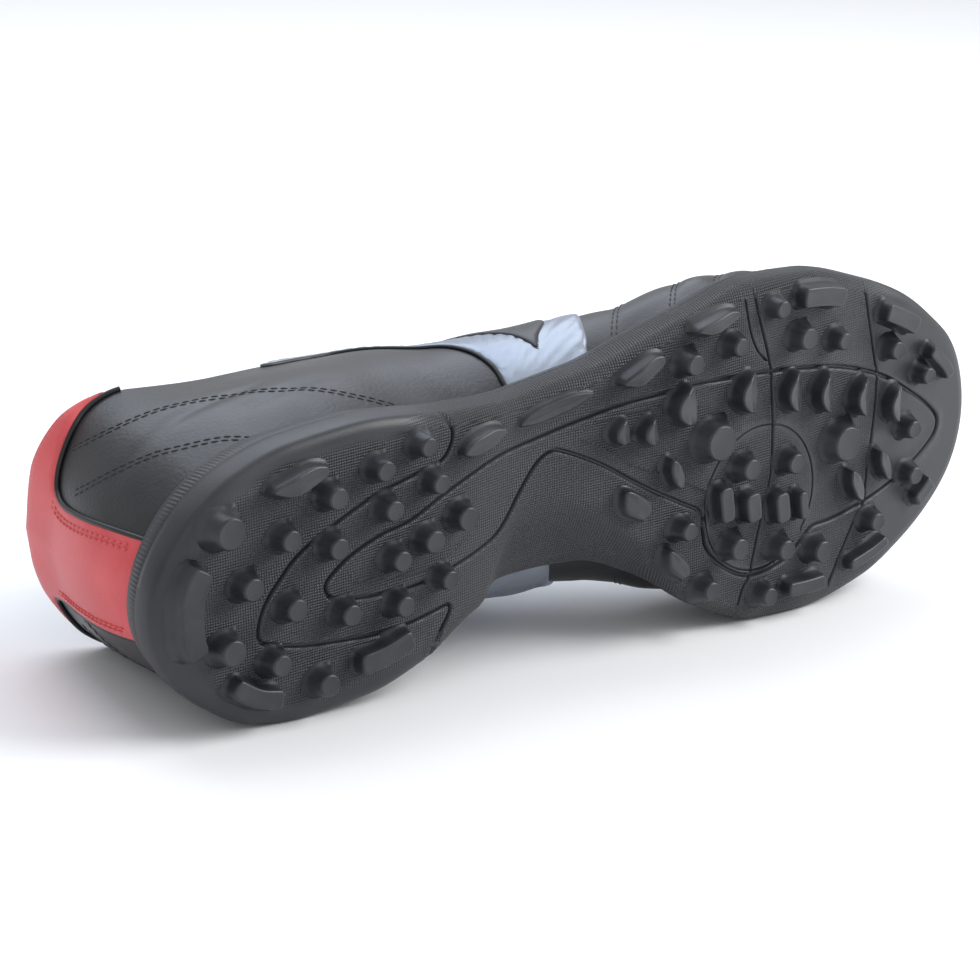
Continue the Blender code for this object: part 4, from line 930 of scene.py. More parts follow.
def vamp_relief(turn, up):
    """Puffs of the soft vamp between its crosswise rows of stitching, and
    creases where the shoe bends."""
    along = along_of(turn) - VAMP_SLANT * (up - 0.25)
    puff = np.zeros_like(along)
    for start, stop in zip(VAMP_SEAMS[:-1], VAMP_SEAMS[1:]):
        share = np.clip((along - start) / (stop - start), 0.0, 1.0)
        puff = puff + np.sin(math.pi * share) ** 0.7 * (share > 0) * (share < 1)
    fade = ease(0.12, 0.24, up) * (1 - ease(0.80, 0.95, up) * (np.abs(turn) < open_turn))
    crease = 0.0
    for at, low, deep in ((0.075, 0.42, 0.5), (0.13, 0.50, 0.7), (0.19, 0.36, 0.5)):
        line = low + 0.7 * (along_of(turn) - at)
        crease = crease - deep * np.exp(-((up - line) / 0.045) ** 2) * (
            ease(at - 0.05, at, along_of(turn)) * (1 - ease(at + 0.05, at + 0.12, along_of(turn))))
    return PUFF * puff * fade + 0.0007 * crease


skin = upper_at(turn_grid, level_grid)
skin_normal = upper_normal(turn_grid, level_grid)
skin = skin + skin_normal * vamp_relief(turn_grid, level_grid)[..., None]
roll_rows, roll_normal = [], skin_normal[-1]
rise_way = upper_at(turns, 1.0) - upper_at(turns, 0.985)
rise_way = rise_way / np.linalg.norm(rise_way, axis=1, keepdims=True)
open_top = (np.abs(turns) < open_turn - 0.02)[:, None]
for degrees in COLLAR_ROLL:
    swing = math.radians(degrees)
    roll_rows.append(skin[-1] + open_top * (
        roll_normal * (math.cos(swing) - 1) * UPPER_WALL / 2
        + rise_way * math.sin(swing) * 0.35 * UPPER_WALL))
upper_all = np.vstack([skin.reshape(-1, 3), np.array(roll_rows).reshape(-1, 3)])
upper_faces = [face[::-1] for face in
               grid_faces(len(levels) + len(COLLAR_ROLL), TURNS + 1)]

LEATHER = (0.008, 0.008, 0.010, 1.0)
LEATHER_LIGHT = (0.018, 0.018, 0.021, 1.0)


def leather_shade(name, dark, light, roughness, grain=0.00009, coat=0.12):
    """Fine-grained leather: small cells, soft wrinkles and a slight gloss."""
    shade = Shade(name)
    where = shade.node("ShaderNodeTexCoord", output="Object")
    cells = shade.node("ShaderNodeTexVoronoi", {"Vector": where, "Scale": 950.0})
    soft = shade.noise(60.0, 5.0, where)
    fine = shade.noise(2400.0, 2.0, where)
    height = cells * 0.7 + fine * 0.25 + soft * 1.2
    shade.set(Base_Color=shade.mix(shade.span(soft, 0.35, 0.7, 0.0, 1.0), dark, light),
              Roughness=shade.span(soft, 0.3, 0.7, roughness - 0.05, roughness + 0.06),
              Coat_Weight=coat, Coat_Roughness=0.35,
              Normal=shade.bump(height, grain, 0.8))
    return shade


black_leather = leather_shade("black leather", LEATHER, LEATHER_LIGHT, 0.40)
upper = piece("upper", upper_all, upper_faces, black_leather, ["upper"],
              merge=2e-5, smooth=1.2)

# Lining: the knit inside of the upper, behind the rolled edge
LINING_LEVELS = 26
inside_turns = np.linspace(-open_turn + 0.02, open_turn - 0.02, 300)
inside_levels = np.linspace(0.10, 1.0, LINING_LEVELS)
in_turn, in_level = np.meshgrid(inside_turns, inside_levels)
inner = upper_at(in_turn, in_level) - upper_normal(in_turn, in_level) * (UPPER_WALL - 0.0001)
lining_shade = Shade("lining")
knit_at = lining_shade.node("ShaderNodeTexCoord", output="Object")
knit = lining_shade.node("ShaderNodeTexVoronoi", {"Vector": knit_at, "Scale": 700.0})
lining_shade.set(Base_Color=(0.045, 0.045, 0.05, 1.0), Roughness=0.85,
                 Normal=lining_shade.bump(knit, 0.0003, 0.8))
lining = piece("lining", inner.reshape(-1, 3), grid_faces(LINING_LEVELS, 300), lining_shade,
               smooth=1.2)

# Panels on the upper. Each outline is given as places on the upper: along the
# sole, negative on the lateral side, and up the wall.
PANEL_THICKNESS = 0.0010
PANEL_ROUND = 0.0011
DOMAIN = np.array((0.090, 0.060))


def turned_to(places):
    """Outline places with the share of the length made into the turn."""
    places = np.array(places, float)
    turn = np.sign(places[:, 0]) * angle_of(np.abs(places[:, 0]))
    return np.column_stack([turn, places[:, 1]])


def panel_mesh(outline, step=0.0018, thickness=PANEL_THICKNESS, shape=None, lift=0.0,
               to_ridge=False):
    """A panel over the upper with a rolled edge, from the corners of its outline.
    A panel to the ridge has no edge where it meets its other half."""
    places = turned_to(outline)
    loop = soft_line(np.vstack([places]) * DOMAIN, 0.0009, closed=True)
    first = [tuple(point) for point in loop]
    edges = [(n, (n + 1) % len(loop)) for n in range(len(loop))]
    low, high = loop.min(axis=0), loop.max(axis=0)
    x, y = np.meshgrid(np.arange(low[0], high[0], step), np.arange(low[1], high[1], step))
    spots = np.column_stack([x.ravel(), y.ravel()])
    hits = np.zeros(len(spots), int)
    for (x0, y0), (x1, y1) in zip(loop, np.roll(loop, -1, axis=0)):
        crosses = (y0 > spots[:, 1]) != (y1 > spots[:, 1])
        at = x0 + (spots[:, 1] - y0) / np.where(y1 == y0, 1e-12, y1 - y0) * (x1 - x0)
        hits += crosses & (spots[:, 0] < at)
    away = nearest([loop])
    spots = spots[(hits % 2 == 1) & (away(spots) > 0.0011)]
    ahead = np.roll(loop, -1, axis=0) - np.roll(loop, 1, axis=0)
    aside = np.column_stack([-ahead[:, 1], ahead[:, 0]])
    aside = aside / np.linalg.norm(aside, axis=1, keepdims=True)
    area = (loop[:, 0] * np.roll(loop[:, 1], -1) - np.roll(loop[:, 0], -1) * loop[:, 1]).sum()
    aside = aside if area > 0 else -aside
    bands = [loop + aside * inset for inset in (0.0002, 0.0005, 0.0010)]
    bands = [band[away(band) > 0.7 * inset] for band, inset in zip(bands, (0.0002, 0.0005, 0.001))]
    net = delaunay_2d_cdt([Vector(p) for p in first + [tuple(p) for p in np.vstack(bands + [spots])]],
                          edges, [], 1, 1e-8)
    plan = np.array([tuple(point) for point in net[0]])
    turn, up = (plan / DOMAIN).T
    up = np.minimum(up, 1.0)
    inset = away(plan)
    if to_ridge:
        joins = (loop[:, 1] > 0.985 * DOMAIN[1]) & (np.abs(loop[:, 0]) > open_turn * DOMAIN[0])
        inset = nearest([loop[~joins]])(plan)
    rounded = np.sqrt(np.clip(1 - (1 - np.clip(inset / PANEL_ROUND, 0, 1)) ** 2, 0, 1))
    rise = -0.0002 + (thickness + 0.0002) * rounded + lift * (inset > 0)
    if shape is not None:
        rise = rise + shape(turn, up) * rounded
    points = upper_at(turn, up) + upper_normal(turn, up) * (
        rise + vamp_relief(turn, up))[:, None]
    faces = [tuple(face) for face in net[2]]
    return points, faces, turn, up


def facing_out(points, faces, turn, up):
    """The faces turned so that they look out of the shoe."""
    out = upper_normal(turn, up)
    made = []
    for a, b, c in faces:
        way = np.cross(points[b] - points[a], points[c] - points[a])
        made.append((a, b, c) if way @ out[a] > 0 else (a, c, b))
    return made


def tube(points, radius, sides=8):
    """A round tube along a line of points, with closed ends."""
    points = np.asarray(points, float)
    ahead = np.gradient(points, axis=0)
    ahead = ahead / np.linalg.norm(ahead, axis=1, keepdims=True)
    across_way = np.cross(ahead, np.array((0.0, 0.0, 1.0)) + 0.001 * points)
    across_way = across_way / np.linalg.norm(across_way, axis=1, keepdims=True)
    third = np.cross(across_way, ahead)
    rings = []
    for n in range(sides):
        swing = 2 * math.pi * n / sides
        rings.append(points + radius * (across_way * math.cos(swing) + third * math.sin(swing)))
    block = np.stack(rings, axis=1).reshape(-1, 3)
    faces = grid_faces(len(points), sides, wrap=True)
    faces += [tuple(range(sides)), tuple(len(block) - 1 - n for n in range(sides))]
    return block, faces


def on_upper(places, step=0.0007, lift=0.0):
    """A smooth line of places on the upper, and its points."""
    line = soft_line(turned_to(places) * DOMAIN, step) / DOMAIN
    up = np.minimum(line[:, 1], 1.0)
    normal = upper_normal(line[:, 0], up)
    return line, upper_at(line[:, 0], up) + normal * (lift + vamp_relief(line[:, 0], up))[:, None]


# Heel counter: the red panel round the back of the heel, with a black rolled piping
RED = (0.600, 0.062, 0.070, 1.0)
RED_LIGHT = (0.680, 0.100, 0.105, 1.0)
TAB_PUFF = 0.0019
COUNTER_LATERAL = (
    (-0.0215, 0.085), (-0.0205, 0.16), (-0.0180, 0.30), (-0.0142, 0.52), (-0.0128, 0.69),
    (-0.0160, 0.775), (-0.0240, 0.815), (-0.038, 0.858), (-0.053, 0.900), (-0.074, 0.955),
    (-0.095, 0.985), (-0.112, 0.998),
)
COUNTER_MEDIAL = (
    (0.112, 0.998), (0.095, 0.992), (0.074, 0.980), (0.053, 0.962), (0.036, 0.945),
    (0.0270, 0.915), (0.0225, 0.84), (0.0195, 0.68), (0.0150, 0.47), (0.0125, 0.30),
    (0.0110, 0.16), (0.0105, 0.085),
)
COUNTER_TOP = ((-0.080, 1.0), (-0.040, 1.0), (-0.010, 1.0), (0.010, 1.0), (0.040, 1.0), (0.080, 1.0))
COUNTER_FOOT = ((0.004, 0.085), (0.0004, 0.085), (-0.0004, 0.085), (-0.006, 0.085), (-0.014, 0.085))
red_leather = leather_shade("red leather", RED, RED_LIGHT, 0.44, 0.00007, 0.08)


def tab_puff(turn, up):
    """The padded tab at the top of the heel."""
    return TAB_PUFF * ease(0.72, 0.98, up) * ease(0.62, 0.30, np.abs(turn + 0.15))


points, faces, turn, up = panel_mesh(
    COUNTER_LATERAL + COUNTER_TOP + COUNTER_MEDIAL + COUNTER_FOOT, shape=tab_puff)
counter = piece("heel_counter_cover", points, facing_out(points, faces, turn, up), red_leather,
                ["heel_counter"], smooth=1.2)
piping = leather_shade("black piping", (0.003, 0.003, 0.004, 1.0), (0.006, 0.006, 0.007, 1.0),
                       0.42, 0.00004, 0.05)
for name, places in (("lateral_piping", COUNTER_LATERAL), ("medial_piping", COUNTER_MEDIAL[::-1])):
    line, run = on_upper(places, lift=0.0004)
    block, faces = tube(run, 0.0008)
    piece(name, block, faces, piping, closed=True, smooth=1.2)

# Silver side panels with fanned ribs, and the black leaf laid over the outer one
SILVER = (0.34, 0.37, 0.42, 1.0)
SILVER_BLUE = (0.24, 0.28, 0.35, 1.0)
RIB_ANGLE = math.radians(4.3)
RIB_DEPTH = 0.00055
LATERAL_BACK = (
    (-0.432, 0.085), (-0.436, 0.14), (-0.4405, 0.20), (-0.4415, 0.30), (-0.437, 0.40),
    (-0.428, 0.46), (-0.403, 0.53), (-0.361, 0.69), (-0.315, 0.84), (-0.262, 0.965),
)
LATERAL_FRONT = (
    (-0.300, 0.99), (-0.350, 0.91), (-0.400, 0.83), (-0.450, 0.74), (-0.520, 0.72),
    (-0.590, 0.74), (-0.604, 0.66), (-0.588, 0.54), (-0.572, 0.42), (-0.559, 0.33),
    (-0.548, 0.26), (-0.535, 0.18), (-0.524, 0.13), (-0.520, 0.085),
)
LATERAL_FOOT = ((-0.500, 0.085), (-0.470, 0.085), (-0.445, 0.085))
LEAF = (
    (-0.4890, 0.205), (-0.4890, 0.29), (-0.4885, 0.36), (-0.482, 0.44), (-0.470, 0.54),
    (-0.455, 0.64), (-0.470, 0.70), (-0.520, 0.68), (-0.552, 0.60), (-0.548, 0.50),
    (-0.534, 0.39), (-0.522, 0.335), (-0.508, 0.285), (-0.497, 0.235),
)
MEDIAL_BACK = (
    (0.385, 0.085), (0.388, 0.16), (0.388, 0.30), (0.382, 0.45), (0.362, 0.62),
    (0.315, 0.84), (0.262, 0.965),
)
MEDIAL_FRONT = (
    (0.300, 0.99), (0.350, 0.91), (0.400, 0.83), (0.450, 0.74), (0.520, 0.72), (0.575, 0.72),
    (0.580, 0.62), (0.562, 0.50), (0.543, 0.39), (0.516, 0.29), (0.495, 0.21), (0.484, 0.15),
    (0.478, 0.085),
)
MEDIAL_FOOT = ((0.455, 0.085), (0.425, 0.085), (0.400, 0.085))


def fan_ribs(turn, up):
    """Ribs that fan forward from the back foot of the panel."""
    spread = np.arctan2(up * 0.055, (along_of(turn) - 0.40) * LENGTH)
    return RIB_DEPTH * (np.abs(np.sin(spread * math.pi / RIB_ANGLE)) ** 0.4 - 0.7)


silver = Shade("silver leather")
silver_at = silver.node("ShaderNodeTexCoord", output="Object")
cloud = silver.noise(26.0, 4.0, silver_at)
sparkle = silver.noise(3800.0, 2.0, silver_at)
silver.set(Base_Color=silver.mix(silver.span(cloud, 0.35, 0.65, 0.0, 1.0), SILVER, SILVER_BLUE),
           Metallic=0.55, Roughness=silver.span(cloud, 0.3, 0.7, 0.30, 0.42),
           Coat_Weight=0.25, Coat_Roughness=0.3, Normal=silver.bump(sparkle, 0.00005, 0.6))
for name, outline, back_line, front_line in (
        ("lateral", LATERAL_BACK + LATERAL_FRONT + LATERAL_FOOT, LATERAL_BACK, LATERAL_FRONT),
        ("medial", MEDIAL_BACK + MEDIAL_FRONT + MEDIAL_FOOT, MEDIAL_BACK, MEDIAL_FRONT)):
    points, faces, turn, up = panel_mesh(outline, step=0.0009, shape=fan_ribs)
    piece("silver_panel_" + name, points, facing_out(points, faces, turn, up), silver,
          ["side_panel_" + name], smooth=1.2)
    line, run = on_upper(back_line, lift=0.0003)
    block, faces = tube(run, 0.0006)
    piece(name + "_panel_piping", block, faces, piping, closed=True, smooth=1.2)
points, faces, turn, up = panel_mesh(LEAF, lift=0.0008)
piece("leaf", points, facing_out(points, faces, turn, up), black_leather,
      smooth=1.2)

# Eyestay: the facing round the throat, in two halves that meet on the ridge
EYESTAY = (
    (0.398, 0.990), (0.398, 0.90), (0.398, 0.80), (0.400, 0.715), (0.415, 0.690), (0.450, 0.690),
    (0.500, 0.690), (0.550, 0.690), (0.590, 0.700), (0.625, 0.750), (0.645, 0.840),
    (0.655, 0.930), (0.658, 1.000), (0.645, 1.000), (0.625, 1.000), (0.605, 1.000),
    (0.590, 0.995), (0.550, 0.992), (0.500, 0.992), (0.450, 0.992), (0.415, 0.992),
)
STAY_THICKNESS = 0.0018
stay_points, stay_faces = [], []
for side in (-1.0, 1.0):
    points, faces, turn, up = panel_mesh([(side * along, up) for along, up in EYESTAY],
                                         thickness=STAY_THICKNESS, to_ridge=True)
    first = sum(len(block) for block in stay_points)
    stay_points.append(points)
    stay_faces += [tuple(first + n for n in face) for face in facing_out(points, faces, turn, up)]
eyestay = piece("eyestay_cover", np.vstack(stay_points), stay_faces, black_leather,
                ["eyestay"], merge=2e-5, smooth=1.2)

# Throat: the upper's surface carried over the opening, which the tongue and the
# laces follow
THROAT_REACH = 0.42
EYESTAY_START = 0.397
HOLE_INSET = 0.0075
LACE_ROWS = (0.06, 0.28, 0.50, 0.72, 0.93)
HOLE_END = 16.2 * math.pi / 29


def throat_arc(turn):
    """Line across the shoe over the throat, its length from the middle, and half
    the opening."""
    rises = 1 - THROAT_REACH * np.arange(13) / 12
    walls = [upper_at(side * turn, rises) for side in (-1.0, 1.0)]
    edges = [wall[0] for wall in walls]
    width = np.linalg.norm(edges[1] - edges[0])
    over = np.zeros((0, 3))
    if width > 2 * UPPER_WALL:
        leaves = [edge - wall[2] for edge, wall in zip(edges, walls)]
        leaves = [leaf / np.linalg.norm(leaf) * width for leaf in leaves]
        t = np.linspace(0.1, 0.9, 9)[:, None]
        over = ((2 * t**3 - 3 * t**2 + 1) * edges[0] + (t**3 - 2 * t**2 + t) * leaves[0]
                + (3 * t**2 - 2 * t**3) * edges[1] - (t**3 - t**2) * leaves[1])
    points = np.vstack([walls[0][::-1], over, walls[1]])
    places = np.concatenate(([0.0], np.cumsum(np.linalg.norm(np.diff(points, axis=0), axis=1))))
    left, right_end = places[12], places[13 + len(over)]
    return places - (left + right_end) / 2, points, (right_end - left) / 2


def throat_skin(turn, across):
    places, points, _ = throat_arc(turn)
    return np.array([np.interp(across, places, points[:, n]) for n in range(3)])


def throat_lift(turn, across, lift):
    """A point over or under the throat's surface."""
    along_way = throat_skin(turn + 0.03, across) - throat_skin(turn - 0.03, across)
    aside = throat_skin(turn, across + 0.002) - throat_skin(turn, across - 0.002)
    normal = np.cross(along_way, aside)
    return throat_skin(turn, across) + normal / np.linalg.norm(normal) * lift


# Tongue: a padded sheet under the throat, which stands up behind the collar
TONGUE_THICKNESS = 0.0042
TONGUE_CLEARANCE = 0.0015
TONGUE_RISE = 0.013
TONGUE_WIDTH = 0.060
TONGUE_FOOT_WIDTH = 0.044
TONGUE_ROWS = 24
TONGUE_ACROSS = 17
tongue_turns = np.linspace(float(angle_of(0.635)), float(angle_of(0.385)), TONGUE_ROWS)
tongue_top, tongue_under = [], []
for n, turn in enumerate(tongue_turns):
    half = (TONGUE_FOOT_WIDTH + (TONGUE_WIDTH - TONGUE_FOOT_WIDTH) * n / (TONGUE_ROWS - 1)) / 2
    spots = half * np.linspace(-1, 1, TONGUE_ACROSS)
    over = -(UPPER_WALL + TONGUE_CLEARANCE)
    tongue_top.append([throat_lift(turn, spot, over) for spot in spots])
    tongue_under.append([throat_lift(turn, spot, over - TONGUE_THICKNESS) for spot in spots])
tongue_top, tongue_under = np.array(tongue_top), np.array(tongue_under)
middle = TONGUE_ACROSS // 2
rise = tongue_top[-1, middle] - tongue_top[-5, middle]
rise = rise / np.linalg.norm(rise) + np.array((0.0, 0.0, 0.12))
for share in (0.25, 0.5, 0.75, 0.92, 1.0):
    narrow = 1 - 0.28 * share**2
    for name in ("top", "under"):
        grid = tongue_top if name == "top" else tongue_under
        last = grid[TONGUE_ROWS - 1]
        row = last[middle] + (last - last[middle]) * narrow + rise * TONGUE_RISE * share
        if name == "top":
            tongue_top = np.concatenate([tongue_top, row[None]])
        else:
            tongue_under = np.concatenate([tongue_under, row[None]])
rows, columns = tongue_top.shape[:2]
a, b = np.meshgrid(np.linspace(0, 1, rows), np.linspace(-1, 1, columns), indexing="ij")
pinch = np.maximum(ease(0.82, 1.0, np.abs(b)), ease(0.96, 1.0, a))[..., None]
centre = (tongue_top + tongue_under) / 2
tongue_top = tongue_top + (centre - tongue_top) * 0.8 * pinch
tongue_under = tongue_under + (centre - tongue_under) * 0.8 * pinch
first = rows * columns
top_faces = grid_faces(rows, columns)
tongue_faces = top_faces + [tuple(first + n for n in face[::-1]) for face in top_faces]
rim = [n * columns for n in range(rows)]
rim += [(rows - 1) * columns + n for n in range(1, columns)]
rim += [n * columns + columns - 1 for n in range(rows - 2, -1, -1)]
rim += list(range(columns - 2, 0, -1))
tongue_faces += [(p, q, first + q, first + p) for p, q in zip(rim, rim[1:] + rim[:1])]
tongue_leather = leather_shade("tongue leather", (0.012, 0.012, 0.014, 1.0),
                               (0.022, 0.022, 0.025, 1.0), 0.55, 0.0001, 0.02)
tongue = piece("tongue_pad", np.vstack([tongue_top.reshape(-1, 3), tongue_under.reshape(-1, 3)]),
               tongue_faces, tongue_leather, ["tongue"], closed=True, smooth=1.2)

# Insole: the lining's footbed on the floor of the cup
INSOLE_THICKNESS = 0.0040
insole_inset = RIM_LEAN + RIM_WALL + GAP + UPPER_WALL + GAP
bed_turns = np.linspace(0.03, math.pi - 0.03, 80)
bed_sides = []
for side in (-1.0, 1.0):
    plan, out = edge_at(side * bed_turns)
    bed_sides.append(plan - out * insole_inset)
across_share = np.concatenate([[0.0, 0.0, 0.015], np.linspace(0.05, 0.95, 13), [0.985, 1.0, 1.0]])
bed_drop = np.array([1.0, 0.25, 0.05] + [0.0] * 13 + [0.05, 0.25, 1.0])
bed = (bed_sides[0][:, None] * (1 - across_share)[None, :, None]
       + bed_sides[1][:, None] * across_share[None, :, None])
bed_height = floor_height(bed[..., 0]) + GAP + INSOLE_THICKNESS * (1 - bed_drop)
insole = piece("insole_bed", np.concatenate([bed, bed_height[..., None]], axis=-1).reshape(-1, 3),
               grid_faces(80, len(across_share)), lining_shade, ["insole"], smooth=1.2)

# Laces: flat woven runs between the holes, a straight one below and crossed ones
# above, whose ends dive into the holes and end there
LACE_WIDTH = 0.0062
LACE_THICKNESS = 0.0013
LACE_STEPS = 36
HOLE_RADIUS = 0.0022
lace_turns = [float(angle_of(EYESTAY_START)) + (HOLE_END - float(angle_of(EYESTAY_START))) * share
              for share in LACE_ROWS]
lace_points, lace_faces, lace_run = [], [], []


def hole_place(side, row):
    turn = lace_turns[row]
    return np.array((turn, side * (throat_arc(turn)[2] + HOLE_INSET)))


def add_lace(start, end, crown):
    """One flat run of lace from hole to hole."""
    first = sum(len(block) for block in lace_points)
    section = ((-1.0, 0.25), (-0.9, 0.0), (0.9, 0.0), (1.0, 0.25), (1.0, 0.75), (0.85, 1.0),
               (0.0, 1.12), (-0.85, 1.0), (-1.0, 0.75))
    rings = []
    for n in range(LACE_STEPS + 1):
        share = n / LACE_STEPS
        spot = start + (end - start) * share
        dive = max(float(ease(0.09, 0.0, share)), float(ease(0.91, 1.0, share)))
        lift = STAY_THICKNESS + 0.0003 + crown * math.sin(math.pi * share) ** 2 - 0.004 * dive
        here = throat_lift(spot[0], spot[1], lift)
        over = throat_lift(spot[0], spot[1], lift + LACE_THICKNESS)
        step = (end - start) * 0.02
        run = throat_skin(*(spot + step)) - throat_skin(*(spot - step))
        aside = np.cross(run, over - here)
        aside = aside / np.linalg.norm(aside) * LACE_WIDTH / 2 * (1 - 0.5 * dive)
        rings.append([here + aside * w + (over - here) * h for w, h in section])
        lace_run.extend([share * float(np.linalg.norm(
            throat_skin(*end) - throat_skin(*start)))] * len(section))
    lace_points.append(np.array(rings).reshape(-1, 3))
    lace_faces.extend(tuple(face) for face in
                      grid_faces(len(rings), len(section), first=first, wrap=True))
    lace_faces.append(tuple(first + n for n in range(len(section))))
    last = first + LACE_STEPS * len(section)
    lace_faces.append(tuple(last + len(section) - 1 - n for n in range(len(section))))


add_lace(hole_place(1.0, -1), hole_place(-1.0, -1), 0.0)
for row in range(len(LACE_ROWS) - 1):
    add_lace(hole_place(1.0, row), hole_place(-1.0, row + 1), 0.0002)
    add_lace(hole_place(-1.0, row), hole_place(1.0, row + 1), 0.0017)
cloth = Shade("lace")
weave = (cloth.attribute("run") * (2 * math.pi / 0.0009)).sine()
cloth.set(Base_Color=(0.016, 0.016, 0.019, 1.0), Roughness=0.78,
          Normal=cloth.bump(weave * 0.5 + cloth.noise(1800.0) * 0.5, 0.00018, 0.8))
laces = piece("lace_runs", np.vstack(lace_points), lace_faces, cloth, ["laces"],
              layers={"run": lace_run}, closed=True, smooth=0.9)

# Lace holes: flat near-black discs of painted shade on the eyestay, each with a pressed ring
ring_points, ring_faces, shade_disc_points, shade_disc_faces = [], [], [], []
for side in (-1.0, 1.0):
    for row in range(len(LACE_ROWS)):
        spot = hole_place(side, row)
        centre = throat_lift(*spot, STAY_THICKNESS)
        outward = throat_lift(*spot, STAY_THICKNESS + 0.001) - centre
        outward = outward / np.linalg.norm(outward)
        first_way = np.cross(outward, np.array((1.0, 0.0, 0.0)))
        first_way = first_way / np.linalg.norm(first_way)
        second_way = np.cross(outward, first_way)
        swings = np.linspace(0, 2 * math.pi, 25)[:-1]
        circle = (np.cos(swings)[:, None] * first_way + np.sin(swings)[:, None] * second_way)
        first = sum(len(block) for block in ring_points)
        profile = [(HOLE_RADIUS + 0.00055 * (1 + math.cos(q)), 0.00045 * math.sin(q) + 0.00015)
                   for q in np.linspace(0, math.pi, 7)]
        block = [centre + circle * reach + outward * high for reach, high in profile]
        ring_points.append(np.array(block).reshape(-1, 3))
        ring_faces += grid_faces(len(profile), 24, first=first, wrap=True)
        first = sum(len(block) for block in shade_disc_points)
        shade_disc_points.append(np.vstack([centre + circle * 1.1 * HOLE_RADIUS + outward * 0.0001,
                                     (centre + outward * 0.0001)[None]]))
        shade_disc_faces += [(first + n, first + (n + 1) % 24, first + 24) for n in range(24)]
pressed = leather_shade("pressed ring", LEATHER, LEATHER_LIGHT, 0.35, 0.00003, 0.2)
piece("hole_rings", np.vstack(ring_points), ring_faces, pressed, smooth=1.2)
# The discs over the holes are painted shade: a near-black sheet where the holes would look dark.
dark = Shade("painted shade of the holes")
dark.set(Base_Color=(0.002, 0.002, 0.002, 1.0), Roughness=1.0)
piece("hole_shade_discs", np.vstack(shade_disc_points), shade_disc_faces, dark, smooth=1.2)

# Stitching: one node tree sets a thread loop on each point of the rows
STITCH_STEP = 0.0026
STITCH_LENGTH = 0.0020
THREAD_RADIUS = 0.00026
THICK_THREAD = 0.00036
DOUBLE = 0.00125
QUARTER_ROWS = (
    ((0.040, 0.820), (0.053, 0.740), (0.083, 0.645), (0.130, 0.580), (0.172, 0.530),
     (0.211, 0.415), (0.252, 0.290), (0.280, 0.205), (0.312, 0.130)),
    ((0.0205, 0.630), (0.036, 0.490), (0.056, 0.390), (0.092, 0.262), (0.126, 0.180),
     (0.145, 0.125)),
)


def stitch_tree():
    """Instances of a thread loop on the vertices of a mesh, turned to its
    along and up attributes."""
    tree = bpy.data.node_groups.new("stitching", "GeometryNodeTree")
    for name, kind in (("Rows", "NodeSocketGeometry"), ("Length", "NodeSocketFloat"),
                       ("Radius", "NodeSocketFloat"), ("Thread", "NodeSocketMaterial")):
        tree.interface.new_socket(name, in_out="INPUT", socket_type=kind)
    tree.interface.new_socket("Stitches", in_out="OUTPUT", socket_type="NodeSocketGeometry")
    nodes, links = tree.nodes, tree.links
    start, end = nodes.new("NodeGroupInput"), nodes.new("NodeGroupOutput")
    ball = nodes.new("GeometryNodeMeshUVSphere")
    ball.inputs["Segments"].default_value = 7
    ball.inputs["Rings"].default_value = 6
    ball.inputs["Radius"].default_value = 1.0
    half = nodes.new("ShaderNodeMath")
    half.operation = "MULTIPLY"
    half.inputs[1].default_value = 0.5
    links.new(start.outputs["Length"], half.inputs[0])
    sizes = nodes.new("ShaderNodeCombineXYZ")
    links.new(start.outputs["Radius"], sizes.inputs[0])
    links.new(start.outputs["Radius"], sizes.inputs[1])
    links.new(half.outputs[0], sizes.inputs[2])
    stretch = nodes.new("GeometryNodeTransform")
    links.new(ball.outputs["Mesh"], stretch.inputs["Geometry"])
    links.new(sizes.outputs[0], stretch.inputs["Scale"])
    turn = None
    for name, axis, pivot in (("along", "Z", "AUTO"), ("up", "X", "Z")):
        vector = nodes.new("GeometryNodeInputNamedAttribute")
        vector.data_type = "FLOAT_VECTOR"
        vector.inputs["Name"].default_value = name
        align = nodes.new("FunctionNodeAlignRotationToVector")
        align.axis = axis
        align.pivot_axis = pivot
        links.new(vector.outputs["Attribute"], align.inputs["Vector"])
        if turn is not None:
            links.new(turn, align.inputs["Rotation"])
        turn = align.outputs["Rotation"]
    place_all = nodes.new("GeometryNodeInstanceOnPoints")
    links.new(start.outputs["Rows"], place_all.inputs["Points"])
    links.new(stretch.outputs["Geometry"], place_all.inputs["Instance"])
    links.new(turn, place_all.inputs["Rotation"])
    real = nodes.new("GeometryNodeRealizeInstances")
    links.new(place_all.outputs["Instances"], real.inputs["Geometry"])
    dress = nodes.new("GeometryNodeSetMaterial")
    links.new(real.outputs["Geometry"], dress.inputs["Geometry"])
    links.new(start.outputs["Thread"], dress.inputs["Material"])
    links.new(dress.outputs["Geometry"], end.inputs["Stitches"])
    return tree


STITCHES = stitch_tree()


def row_beside(line, distance):
    """Places beside a line on the upper, at a distance in metres."""
    here = upper_at(line[:, 0], np.minimum(line[:, 1], 1.0))
    step = 0.004
    up_scale = np.linalg.norm(upper_at(line[:, 0], line[:, 1] - step) - here, axis=1) / step
    turn_scale = np.linalg.norm(upper_at(line[:, 0] + step, line[:, 1]) - here, axis=1) / step
    ahead = np.gradient(line, axis=0) * np.column_stack([turn_scale, up_scale])
    aside = np.column_stack([-ahead[:, 1], ahead[:, 0]])
    aside = aside / np.linalg.norm(aside, axis=1, keepdims=True) * distance
    return line + aside / np.column_stack([turn_scale, up_scale])


